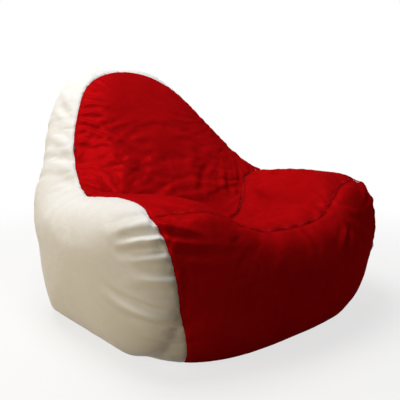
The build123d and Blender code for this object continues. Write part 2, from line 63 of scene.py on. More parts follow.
FACE_SIZE = 0.008               # of the cloth's mesh before it is divided
CLOTH = 0.0012
BEADS_BELOW_COVER = 0.0031      # from the beads' surface to the outside of the cover
RECESS_MARGIN = 0.010           # beyond the ends of the zip, where the beads stand back
RECESS_HALF = 0.034
RECESS_DEPTH = 0.05
SEAM_SNAP = 0.3                 # share of an edge within which its end moves onto the seam
SHORTEST_SEAM = 8               # corners in a row

SLOT_HALF = 0.0075              # the opening in the back panels, over the zip
SLOT_MARGIN = 0.001
NEAR_SLOT = 0.03
CALM_FROM = 0.014               # no fold comes this close to the zip or the loop
CALM_TO = 0.060

MERGE = 1e-5                    # corners nearer than this are one


# ---------------------------------------------------------------- small helpers
def deselect():
    """Nothing is selected or active in edit mode."""
    if bpy.context.mode != "OBJECT":
        bpy.ops.object.mode_set(mode="OBJECT")
    bpy.ops.object.select_all(action="DESELECT")


def select_only(piece):
    """The piece alone is selected and active."""
    deselect()
    piece.select_set(True)
    bpy.context.view_layer.objects.active = piece


def new_piece(name, mesh):
    piece = bpy.data.objects.new(name, mesh)
    bpy.context.scene.collection.objects.link(piece)
    return piece


def apply_modifiers(piece):
    select_only(piece)
    for modifier in list(piece.modifiers):
        bpy.ops.object.modifier_apply(modifier=modifier.name)


def merge_corners(piece):
    """The loose triangles of a CAD node's mesh are joined into one surface."""
    select_only(piece)
    bpy.ops.object.mode_set(mode="EDIT")
    bpy.ops.mesh.select_all(action="SELECT")
    bpy.ops.mesh.remove_doubles(threshold=MERGE)
    bpy.ops.object.mode_set(mode="OBJECT")


def coordinates(mesh):
    co = np.empty(len(mesh.vertices) * 3, np.float32)
    mesh.vertices.foreach_get("co", co)
    return co.reshape(-1, 3).astype(np.float64)


def normals(mesh):
    directions = np.empty(len(mesh.vertices) * 3, np.float32)
    mesh.vertex_normals.foreach_get("vector", directions)
    return directions.reshape(-1, 3).astype(np.float64)


def set_coordinates(mesh, co):
    mesh.vertices.foreach_set("co", co.astype(np.float32).ravel())
    mesh.update()


def whole_numbers(items, word, count):
    """One whole number for each item, or several."""
    values = np.empty(count, np.int32)
    items.foreach_get(word, values)
    return values


def edge_ends(mesh):
    """The two corners of each edge."""
    return whole_numbers(mesh.edges, "vertices", len(mesh.edges) * 2).reshape(-1, 2)


def neighbour_mean(mesh, values, rounds):
    """The values at the corners, smoothed over the mesh."""
    one, other = edge_ends(mesh).T
    count = len(values)
    degree = np.bincount(one, minlength=count) + np.bincount(other, minlength=count)
    for _ in range(rounds):
        total = np.empty_like(values)
        for axis in range(values.shape[1]):
            total[:, axis] = np.bincount(one, values[other, axis], count)
            total[:, axis] += np.bincount(other, values[one, axis], count)
        values = 0.5 * values + 0.5 * total / degree[:, None]
    return values


def smooth_step(values, low, high):
    """0 below the low value and 1 above the high one, with soft ends."""
    share = np.clip((values - low) / (high - low), 0, 1)
    return share * share * (3 - 2 * share)


def search_tree(mesh):
    """Finds the nearest place on a mesh."""
    corners = [v.co.copy() for v in mesh.vertices]
    return BVHTree.FromPolygons(corners, [tuple(p.vertices) for p in mesh.polygons])


def finish_soft(piece, body, slot_name, node_name):
    """The piece gets its cloth, rides on its body and stands for its CAD node."""
    piece.data.materials.clear()
    piece.data.materials.append(finishes[slot_name])
    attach(piece, body)
    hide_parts(node_name)


# ---------------------------------------------------------------- shader helpers
def node(tree, kind, settings=None, **values):
    """A shader node of this kind, with its settings and the values of its inputs."""
    made = tree.nodes.new("ShaderNode" + kind)
    for name, value in (settings or {}).items():
        setattr(made, name, value)
    for name, value in values.items():
        made.inputs[name].default_value = value
    return made


def new_group(name, inputs, outputs):
    """An empty node group with named inputs, which are numbers, and named outputs."""
    group = bpy.data.node_groups.new(name, "ShaderNodeTree")
    for word, value in inputs.items():
        socket = group.interface.new_socket(name=word, in_out="INPUT", socket_type="NodeSocketFloat")
        socket.default_value = value
    for word in outputs:
        group.interface.new_socket(name=word, in_out="OUTPUT", socket_type="NodeSocketFloat")
    return group, group.nodes.new("NodeGroupInput"), group.nodes.new("NodeGroupOutput")


def math(tree, operation, first, second):
    """The output of a Math node. Each operand is an output or a number."""
    made = node(tree, "Math", {"operation": operation})
    for socket, operand in zip(made.inputs, (first, second)):
        if isinstance(operand, (int, float)):
            socket.default_value = operand
        else:
            tree.links.new(operand, socket)
    return made.outputs[0]


def on_object(tree, *textures):
    """The textures lie on the piece's own coordinates."""
    place = node(tree, "TexCoord")
    for texture in textures:
        tree.links.new(place.outputs["Object"], texture.inputs[0])


def use_group(tree, group, **values):
    """The node group placed in a material, with its own values."""
    made = tree.nodes.new("ShaderNodeGroup")
    made.node_tree = group
    for name, value in values.items():
        made.inputs[name].default_value = value
    return made


def new_finish(name, roughness, **values):
    """A material with a plain Principled shader, whose constants stand on its own sockets."""
    material = bpy.data.materials.new(name)
    material.use_nodes = True
    shader = material.node_tree.nodes["Principled BSDF"]
    shader.inputs["Roughness"].default_value = roughness
    for word, value in values.items():
        shader.inputs[word.replace("_", " ")].default_value = value
    return material, material.node_tree, shader


def mix_colour(tree, factor, first, second):
    """A colour between two, each an output or a colour."""
    made = node(tree, "Mix", {"data_type": "RGBA"})
    tree.links.new(factor, made.inputs["Factor"])
    for socket, colour in ((made.inputs[6], first), (made.inputs[7], second)):
        if isinstance(colour, tuple):
            socket.default_value = (*colour, 1)
        else:
            tree.links.new(colour, socket)
    return made.outputs[2]


def bump(tree, shader, height, distance):
    """The height moves the shader's normal."""
    made = node(tree, "Bump", Distance=distance, Strength=1.0)
    tree.links.new(height, made.inputs["Height"])
    tree.links.new(made.outputs["Normal"], shader.inputs["Normal"])


# ---------------------------------------------------------------- camera, floor and light
CAMERA_AT = (-1.2325, -1.4771, 0.7338)
CAMERA_AIM = (0, -0.0386, 0.3485)
LENS = 53.55                    # in millimetres, on a sensor of 36
FRAME_SHIFT = -0.006

FLOOR_SIZE = 14
BELOW_CHAIR = 0.0005
FLOOR_BOUNCE = (0.36, 0.28, 0.16)
FLOOR_WHITE = (0.95, 0.95, 0.95)
FADE_FROM = 0.65                # the floor turns white between these distances from the middle
FADE_TO = 1.7
FADE_NEAR = 0.72                # its own white under the chair

# name, place, aim, width, watts, colour
LAMPS = (
    ("overhead", (-0.4, 0.3, 2.6), (0, 0, 0.3), 1.5, 46, (1, 1, 1)),
    ("left_fill", (-2.5, 0.25, 0.9), (-0.2, 0, 0.2), 1.4, 20, (1, 0.87, 0.65)),
    ("rear_fill", (1.6, 2.6, 1.4), (0, 0, 0.35), 1.5, 14, (1, 1, 1)),
)
ROOM_LIGHT = (1, 0.96, 0.88, 1)
ROOM_STRENGTH = 0.06


def aim_at(item, place_at, aim):
    """The camera or lamp stands here and looks there."""
    item.location = place_at
    item.rotation_mode = "QUATERNION"
    item.rotation_quaternion = (Vector(aim) - Vector(place_at)).to_track_quat("-Z", "Y")


def make_camera():
    data = bpy.data.cameras.new("camera")
    data.lens = LENS
    data.sensor_width = 36
    data.shift_y = FRAME_SHIFT
    camera = new_piece("camera", data)
    aim_at(camera, CAMERA_AT, CAMERA_AIM)
    bpy.context.scene.camera = camera


def make_stage():
    deselect()
    bpy.ops.mesh.primitive_plane_add(size=FLOOR_SIZE, location=(0, 0, -BELOW_CHAIR))
    floor = bpy.context.object
    floor.name = "floor"
    bpy.ops.object.transform_apply(location=True, rotation=True, scale=True)
    floor.data.materials.append(floor_finish())


def unlit_share(tree):
    """1 for rays that show the background: those of the camera, in gloss and through glass."""
    paths = node(tree, "LightPath")
    shown = math(tree, "MAXIMUM", paths.outputs["Is Camera Ray"], paths.outputs["Is Glossy Ray"])
    return math(tree, "MAXIMUM", shown, paths.outputs["Is Transmission Ray"])


def mix_shaders(tree, factor, lit, shown, output):
    """The lit shader and the one that the eye sees meet in the output."""
    mix = node(tree, "MixShader")
    for socket, given in zip(mix.inputs, (factor, lit.outputs[0], shown.outputs[0])):
        tree.links.new(given, socket)
    tree.links.new(mix.outputs[0], tree.nodes[output].inputs["Surface"])


def floor_finish():
    """White to the eye, with the chair's soft shadow, and a warm dull floor in the light it returns."""
    material, tree, shader = new_finish("floor", 0.9, Specular_IOR_Level=0.0)
    seen = unlit_share(tree)
    tree.links.new(mix_colour(tree, seen, FLOOR_BOUNCE, FLOOR_WHITE), shader.inputs["Base Color"])
    away = node(tree, "VectorMath", {"operation": "LENGTH"})
    on_object(tree, away)
    fade = node(tree, "MapRange")
    for name, value in (("From Min", FADE_FROM), ("From Max", FADE_TO), ("To Min", FADE_NEAR)):
        fade.inputs[name].default_value = value
    tree.links.new(away.outputs["Value"], fade.inputs["Value"])
    share = math(tree, "MULTIPLY", seen, fade.outputs["Result"])
    glow = node(tree, "Emission", Color=(1, 1, 1, 1))
    mix_shaders(tree, share, shader, glow, "Material Output")
    return material


def make_lights():
    for name, place_at, aim, width, watts, colour in LAMPS:
        data = bpy.data.lights.new(name, "AREA")
        data.shape = "SQUARE"
        data.size = width
        data.energy = watts
        data.color = colour
        aim_at(new_piece(name, data), place_at, aim)
    world = bpy.data.worlds.new("room")
    bpy.context.scene.world = world
    world.use_nodes = True
    tree = world.node_tree
    light = tree.nodes["Background"]
    light.inputs["Color"].default_value = ROOM_LIGHT
    light.inputs["Strength"].default_value = ROOM_STRENGTH
    white = node(tree, "Background", Color=(1, 1, 1, 1), Strength=1)
    mix_shaders(tree, unlit_share(tree), light, white, "World Output")


# ---------------------------------------------------------------- the cover's cloth, as one skin
def filled_bag(name, voxel):
    """A closed even skin round the beads, with the recess behind the zip filled."""
    bag = new_piece(name, nodes["bead_filling"].data.copy())
    bag.data.materials.clear()
    merge_corners(bag)
    low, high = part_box("cover_zip_stops")
    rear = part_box("cover_zip_tape_left")[1].y - BEADS_BELOW_COVER / 2
    bottom, top = low.z - RECESS_MARGIN, high.z + RECESS_MARGIN
    bpy.ops.object.mode_set(mode="EDIT")
    bpy.ops.mesh.select_all(action="DESELECT")
    bpy.ops.mesh.primitive_cube_add(size=1, location=(0, rear - RECESS_DEPTH / 2, (bottom + top) / 2))
    bpy.ops.transform.resize(value=(2 * RECESS_HALF, RECESS_DEPTH, top - bottom))
    bpy.ops.object.mode_set(mode="OBJECT")
    remesh = bag.modifiers.new("even", "REMESH")
    remesh.mode = "VOXEL"
    remesh.voxel_size = voxel
    smooth = bag.modifiers.new("smooth", "SMOOTH")
    smooth.factor = 0.5
    smooth.iterations = 6
    apply_modifiers(bag)
    return bag


# Broad places that the cloth fills out, on both sides alike: height, half width, place.
FILLS = (
    (0.025, 0.078, (0.392, 0.265, 0.415)),
    (0.008, 0.060, (0.360, 0.300, 0.490)),
    (-0.004, 0.050, (0.470, 0.160, 0.370)),
)


def one_side(co):
    """The places, with the left half of the chair laid over the right one."""
    return np.column_stack([np.abs(co[:, 0]), co[:, 1:]])


def fill_relief(co):
    """How far the cloth stands out in its broad full places."""
    height = np.zeros(len(co))
    for rise, half, middle in FILLS:
        apart = np.linalg.norm(one_side(co) - middle, axis=1) / half
        height += rise * np.exp(-apart ** 2)
    return height


EASE_ROUNDS = 170
EASE_MIDDLE = np.array([0.42, 0.22, 0.42])
EASE_REACH = np.array([0.18, 0.24, 0.16])
OUTWARD_ROUNDS = 60             # the cloth fills out along directions that are smoothed this often
FILL_ROUNDS = 6


def ease_shoulders(bag):
    """The cloth spans the hollow between each arm and the backrest more gently than the beads."""
    mesh = bag.data
    co = coordinates(mesh)
    smooth = neighbour_mean(mesh, co, EASE_ROUNDS)
    apart = np.linalg.norm((one_side(co) - EASE_MIDDLE) / EASE_REACH, axis=1)
    weight = 1 - smooth_step(apart, 0.4, 1.2)
    set_coordinates(mesh, co + (smooth - co) * weight[:, None])
    outward = neighbour_mean(mesh, normals(mesh), OUTWARD_ROUNDS)
    outward /= np.linalg.norm(outward, axis=1)[:, None]
    for _ in range(FILL_ROUNDS):
        co = coordinates(mesh)
        co += outward * (fill_relief(co) / FILL_ROUNDS)[:, None]
        set_coordinates(mesh, co + (neighbour_mean(mesh, co, 6) - co) * weight[:, None])


def panel_trees():
    """A search tree for each panel of the cover, in the order of PANELS."""
    return [search_tree(nodes[name].data) for _, name, _ in PANELS]


def nearest_panel(trees, point):
    """The number of the panel that lies nearest, and the distance to each."""
    reach = [tree.find_nearest(point)[3] for tree in trees]
    return reach.index(min(reach)), reach


def cut_along_seams(bag, trees):
    """Edges of the skin follow the seams between the panels. Each face learns its panel."""
    bm = bmesh.new()
    bm.from_mesh(bag.data)
    bm.verts.ensure_lookup_table()
    found = [nearest_panel(trees, v.co) for v in bm.verts]
    own = [label for label, _ in found]
    reach = [distances for _, distances in found]

    def crossing(edge):
        """Share of the way along the edge at which it crosses the seam."""
        a, b = edge.verts[0].index, edge.verts[1].index
        before = reach[a][own[a]] - reach[a][own[b]]
        after = reach[b][own[a]] - reach[b][own[b]]
        return min(max(before / (before - after), 0.02), 0.98) if after > before else 0.5

    crossed = [e for e in bm.edges if own[e.verts[0].index] != own[e.verts[1].index]]
    where = {e: crossing(e) for e in crossed}
    on_seam = set()
    moves = {}
    for e in crossed:
        for end, share in ((0, where[e]), (1, 1 - where[e])):
            if share < SEAM_SNAP:
                v = e.verts[end]
                moves.setdefault(v, []).append(e.verts[0].co.lerp(e.verts[1].co, where[e]))
    for v, places in moves.items():
        v.co = sum(places, Vector()) / len(places)
        on_seam.add(v)
    for e in crossed:
        if e.verts[0] in on_seam or e.verts[1] in on_seam:
            continue
        _, middle = bmesh.utils.edge_split(e, e.verts[0], where[e])
        on_seam.add(middle)
    for face in list(bm.faces):
        split_at_seam(bm, face, on_seam)
    layer = bm.faces.layers.int.new("panel")
    for face in bm.faces:
        labels = {own[v.index] for v in face.verts if v not in on_seam and v.index < len(own)}
        if len(labels) == 1:
            face[layer] = labels.pop()
        else:
            face[layer] = nearest_panel(trees, face.calc_center_median())[0]
    for e in bm.edges:
        e.seam = len(e.link_faces) == 2 and e.link_faces[0][layer] != e.link_faces[1][layer]
    bm.to_mesh(bag.data)
    bm.free()
    bag.data.update()


def split_at_seam(bm, face, on_seam):
    """Joins two corners of a face that lie on the seam, and aren't neighbours."""
    ring = list(face.verts)
    marked = [i for i, v in enumerate(ring) if v in on_seam]
    for first in marked:
        for second in marked:
            apart = (second - first) % len(ring)
            if 1 < apart < len(ring) - 1:
                bmesh.utils.face_split(face, ring[first], ring[second])
                return


# ---------------------------------------------------------------- cloth simulation
SIM_FRAMES = 14
SIM_REACH = 0.0062              # the farthest that the simulation may move a point
SIM_HOLD = 0.05
TAUT = 0.3                      # share of the wrinkles left high up and low down, where the cloth is full
SIM_SLACK = 0.035               # the cloth is cut this share too large between its seams
SIM_TIGHT = 0.035               # and the seams are sewn this share tighter
SWELL_ROUNDS = 60               # wider swellings than this smoothing leaves are taken out again
ON_FLOOR = 0.004
LESS_AT_SEAMS = 0.6             # shares by which the wrinkles are less at the seams and on the white cloth
LESS_ON_WHITE = 0.45
WRINKLED_FROM = (0.18, 0.34)    # heights between which the wrinkles set in, and die out again
WRINKLED_TO = (0.50, 0.64)
CLOTH_SETTINGS = {
    "quality": 5, "mass": 0.15, "tension_stiffness": 12, "compression_stiffness": 12, "shear_stiffness": 4,
    "bending_stiffness": 0.1, "tension_damping": 8, "compression_damping": 8, "shear_damping": 8,
    "air_damping": 2, "use_pressure": True, "uniform_pressure_force": 1.5, "vertex_group_mass": "hold",
    "pin_stiffness": 1.0, "vertex_group_shrink": "tight", "shrink_min": -SIM_SLACK, "shrink_max": SIM_TIGHT,
}


def puff(bag):
    """The cloth is blown against its tight seams and gathers along them. The bag's size stays."""
    mesh = bag.data
    hold = bag.vertex_groups.new(name="hold")
    tight = bag.vertex_groups.new(name="tight")
    on_seam = {v for e in mesh.edges if e.use_seam for v in e.vertices}
    tight.add(list(on_seam), 1, "REPLACE")
    hold.add([v.index for v in mesh.vertices if v.co.z < ON_FLOOR], 1, "REPLACE")
    hold.add([v.index for v in mesh.vertices if v.co.z >= ON_FLOOR], SIM_HOLD, "REPLACE")
    before = coordinates(mesh)
    cloth = bag.modifiers.new("cloth", "CLOTH")
    for name, value in CLOTH_SETTINGS.items():
        setattr(cloth.settings, name, value)
    cloth.settings.effector_weights.gravity = 0
    cloth.collision_settings.use_collision = False
    cloth.point_cache.frame_start = 1
    cloth.point_cache.frame_end = SIM_FRAMES
    scene = bpy.context.scene
    for number in range(1, SIM_FRAMES + 1):
        scene.frame_set(number)
    apply_modifiers(bag)
    scene.frame_set(1)
    mesh = bag.data
    moved = coordinates(mesh) - before
    moved -= neighbour_mean(mesh, moved, SWELL_ROUNDS)
    moved = neighbour_mean(mesh, moved, 1)
    length = np.linalg.norm(moved, axis=1, keepdims=True)
    limited = SIM_REACH * np.tanh(length / SIM_REACH) / np.maximum(length, 1e-9)
    belongs = corner_panels(mesh)
    at_seam = (belongs.sum(1) > 1).astype(float)[:, None]
    white = belongs[:, SIDE_LEFT:].any(1).astype(float)[:, None]
    share = 1 - neighbour_mean(mesh, np.hstack([LESS_AT_SEAMS * at_seam, LESS_ON_WHITE * white]), 3).sum(1)
    full = smooth_step(before[:, 2], *WRINKLED_FROM) - smooth_step(before[:, 2], *WRINKLED_TO)
    share *= TAUT + (1 - TAUT) * full
    set_coordinates(mesh, before + moved * limited * (share * calm(before))[:, None])
    bag.vertex_groups.clear()


# ---------------------------------------------------------------- folds, gathers and seams
def from_zip(co):
    """Distance from the opening over the zip, seen from behind."""
    low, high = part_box("cover_zip_stops")
    bottom, top = low.z - SLOT_MARGIN, high.z + SLOT_MARGIN
    aside = np.maximum(np.abs(co[:, 0]) - SLOT_HALF, 0)
    beyond = np.maximum(np.maximum(bottom - co[:, 2], co[:, 2] - top), 0)
    return np.where(co[:, 1] > 0.2, np.hypot(aside, beyond), 1)


def calm(co):
    """0 at the zip, the loop and the floor, where the cloth lies flat, and 1 away from them."""
    low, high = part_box("carry_loop")
    across = np.maximum(np.abs(co[:, 0]) - high.x, 0)
    root = np.hypot(co[:, 1] - (low.y + high.y) / 2, co[:, 2] - high.z)
    near = np.minimum(from_zip(co), np.hypot(across, root))
    return smooth_step(near, CALM_FROM, CALM_TO) * smooth_step(co[:, 2], ON_FLOOR, 0.03)


class Seam:
    """One seam between two panels: its corners in order, the way along it, and its length."""

    def __init__(self, co, chain):
        self.chain = chain
        self.points = co[chain]
        ahead = np.roll(self.points, -2, 0) - np.roll(self.points, 2, 0)
        ahead[:2] = self.points[2] - self.points[0]
        ahead[-2:] = self.points[-1] - self.points[-3]
        self.along = ahead / np.linalg.norm(ahead, axis=1, keepdims=True)
        steps = np.linalg.norm(np.diff(self.points, axis=0), axis=1)
        self.run = np.concatenate([[0], np.cumsum(steps)])


def panel_of_loops(mesh):
    """The panel's number for each corner of each face."""
    panel = whole_numbers(mesh.attributes["panel"].data, "value", len(mesh.polygons))
    return np.repeat(panel, whole_numbers(mesh.polygons, "loop_total", len(mesh.polygons)))


def edge_labels(mesh):
    """For each edge the panels on its two sides."""
    edge_of = whole_numbers(mesh.loops, "edge_index", len(mesh.loops))
    of_loop = panel_of_loops(mesh)
    low = np.full(len(mesh.edges), 99)
    high = np.full(len(mesh.edges), -1)
    np.minimum.at(low, edge_of, of_loop)
    np.maximum.at(high, edge_of, of_loop)
    return low, high


def find_seams(mesh):
    """The seams between each two panels, as lists of Seam."""
    low, high = edge_labels(mesh)
    ends = edge_ends(mesh)
    co = coordinates(mesh)
    seams = {}
    for one in range(len(PANELS)):
        for other in range(one + 1, len(PANELS)):
            edges = ends[(low == one) & (high == other)]
            found = [Seam(co, chain) for chain in chains(edges.tolist()) if len(chain) > SHORTEST_SEAM]
            if found:
                seams[one, other] = found
    return seams


def chains(edges):
    """The edges as runs of corners in order."""
    beside = {}
    for a, b in edges:
        beside.setdefault(a, []).append(b)
        beside.setdefault(b, []).append(a)
    starts = sorted(beside, key=lambda corner: len(beside[corner]) == 2)
    used = set()
    runs = []
    for start in starts:
        for first in beside[start]:
            if (start, first) in used:
                continue
            run = [start, first]
            used.update({(start, first), (first, start)})
            while len(beside[run[-1]]) == 2:
                following = [c for c in beside[run[-1]] if (run[-1], c) not in used]
                if not following:
                    break
                used.update({(run[-1], following[0]), (following[0], run[-1])})
                run.append(following[0])
            runs.append(run)
    return runs


def ripple(run, length, seed):
    """Uneven waves of about this length, from -1 to 1."""
    dice = np.random.default_rng(seed)
    total = np.zeros_like(run)
    for stretch in (0.61, 1, 1.37, 2.3):
        total += np.sin(2 * pi * run / (length * stretch * dice.uniform(0.9, 1.1)) + dice.uniform(0, 2 * pi))
    return total / 2.4


def corner_panels(mesh):
    """For each corner of the mesh whether it belongs to each panel."""
    belongs = np.zeros((len(mesh.vertices), len(PANELS)), bool)
    belongs[whole_numbers(mesh.loops, "vertex_index", len(mesh.loops)), panel_of_loops(mesh)] = True
    return belongs


def from_seam(co, chosen, seams):
    """Distance from the seams, place along them and distance from their ends, for the chosen corners."""
    tree = KDTree(sum(len(seam.chain) for seam in seams))
    places, alongs, runs, from_ends = [], [], [], []
    for number, seam in enumerate(seams):
        for point in seam.points:
            tree.insert(point, len(places))
            places.append(point)
        alongs.append(seam.along)
        runs.append(seam.run + 7.3 * number)
        from_ends.append(np.minimum(seam.run, seam.run[-1] - seam.run))
    tree.balance()
    nearest = np.array([tree.find(co[i])[1] for i in chosen])
    alongs = np.vstack(alongs)[nearest]
    offset = co[chosen] - np.array(places)[nearest]
    ahead = (offset * alongs).sum(1)
    distance = np.linalg.norm(offset - alongs * ahead[:, None], axis=1)
    return distance, np.concatenate(runs)[nearest] + ahead, np.concatenate(from_ends)[nearest]


# height, wave length, reach, lean: gathers on the first and on the second panel of a seam
GATHERS = {
    (SEAT, FRONT): ((0.0016, 0.040, 0.030, 0.1), (0.0026, 0.055, 0.050, 0.2)),
    (SEAT, BACKREST): ((0.0028, 0.040, 0.035, 0.2), (0.0050, 0.036, 0.060, 0.3)),
    (BACK_LEFT, BACK_RIGHT): ((0.0022, 0.050, 0.050, 0.2), (0.0022, 0.050, 0.050, 0.2)),
    (FRONT, BASE): ((0.0026, 0.060, 0.045, 0.1), None),
}
for side_panel, back_panel in zip(SIDES, BACKS):
    GATHERS.update({
        (SEAT, side_panel): ((0.0016, 0.030, 0.030, 0.2), (0.0020, 0.040, 0.045, 0.2)),
        (FRONT, side_panel): ((0.0022, 0.040, 0.040, 0.3), (0.0042, 0.036, 0.085, 0.25)),
        (BACKREST, side_panel): ((0.0030, 0.026, 0.050, 0.3), (0.0026, 0.040, 0.060, 0.3)),
        (side_panel, back_panel): ((0.0030, 0.045, 0.070, 0.2), (0.0030, 0.050, 0.070, 0.2)),
        (side_panel, BASE): ((0.0032, 0.070, 0.060, 0.1), None),
        (back_panel, BASE): ((0.0030, 0.070, 0.055, 0.1), None),
    })
END_FADE = 0.05                 # gathers die out this far from the ends of a seam
GROOVE = 0.0030                 # how far a seam lies below the cloth beside it
GROOVE_HALF = 0.0045
TOP_GROOVE = 0.0014             # at the front seam, which is sewn flat
LAP = (0.0035, -0.0085)         # the red cloth stands above the white along the far edge
LAP_REACH = 0.030
LAPPED = tuple((panel, SIDE_RIGHT) for panel in (FRONT, SEAT, BACKREST))
CREASE_DEPTH = 0.004
CREASE_HALF = 0.010
ROLL = 0.0010                   # the rolled edge above the front seam
ROLL_BELOW = -0.35              # share of the roll's height, on the cloth below the seam
ROLL_AT = 0.010
ROLL_HALF = 0.007


def seam_relief(mesh, seams):
    """How far the seams, and the gathers beside them, move each corner outwards."""
    co = coordinates(mesh)
    belongs = corner_panels(mesh)
    height = np.zeros(len(co))
    for number, (pair, found) in enumerate(seams.items()):
        for side in (0, 1):
            chosen = np.flatnonzero(belongs[:, pair[side]])
            distance, run, from_end = from_seam(co, chosen, found)
            shared = belongs[chosen, pair[1 - side]]
            weight = np.where(shared, 0.5, 1)
            groove = TOP_GROOVE if pair == (SEAT, FRONT) else GROOVE
            rise = -groove * np.exp(-(distance / GROOVE_HALF) ** 2)
            if pair in LAPPED:
                rise += LAP[side] * np.exp(-distance / LAP_REACH)
            if pair == (SEAT, BACKREST):
                rise -= CREASE_DEPTH * np.exp(-distance / CREASE_HALF)
            if pair == (SEAT, FRONT):
                way = 1 if side == 0 else ROLL_BELOW
                rise += way * ROLL * np.exp(-((distance - ROLL_AT) / ROLL_HALF) ** 2)
            gather = GATHERS.get(pair, (None, None))[side]
            if gather:
                gathers = gathered(distance, run, gather, seed=number * 2 + side)
                rise += gathers * smooth_step(from_end, 0, END_FADE)
            height[chosen] += rise * weight
    return height


# how long the gathers keep their lean, their strength and their reach, along the seam
LEAN_LENGTH = 0.5
STRENGTH_LENGTH = 0.22
REACH_LENGTH = 0.13
RIDGE_SHAPE = 0.8               # below 1, a ridge is rounder and its valleys sharper
RIDGE_MEAN = 0.42
PEAK_AT = 0.35                  # share of its reach at which a gather is highest
NEAREST_PEAK = 0.004
LEFT_AT_SEAM = 0.12
GATHER_SCALE = 1.1


def gathered(distance, run, gather, seed):
    """Rounded ridges with sharp valleys between them, square to the seam, that die out away from it."""
    most, length, reach, lean = gather
    leaning = run + lean * distance * ripple(run, LEAN_LENGTH, seed + 50)
    waves = np.abs(ripple(leaning, 2 * length, seed)) ** RIDGE_SHAPE - RIDGE_MEAN
    strength = 0.55 + 0.45 * ripple(run, STRENGTH_LENGTH, seed + 100)
    own_reach = reach * (0.75 + 0.35 * ripple(run, REACH_LENGTH, seed + 150))
    fall = distance / np.maximum(PEAK_AT * own_reach, NEAREST_PEAK)
    return most * waves * strength * (LEFT_AT_SEAM + fall) * np.exp(1 - fall) / GATHER_SCALE


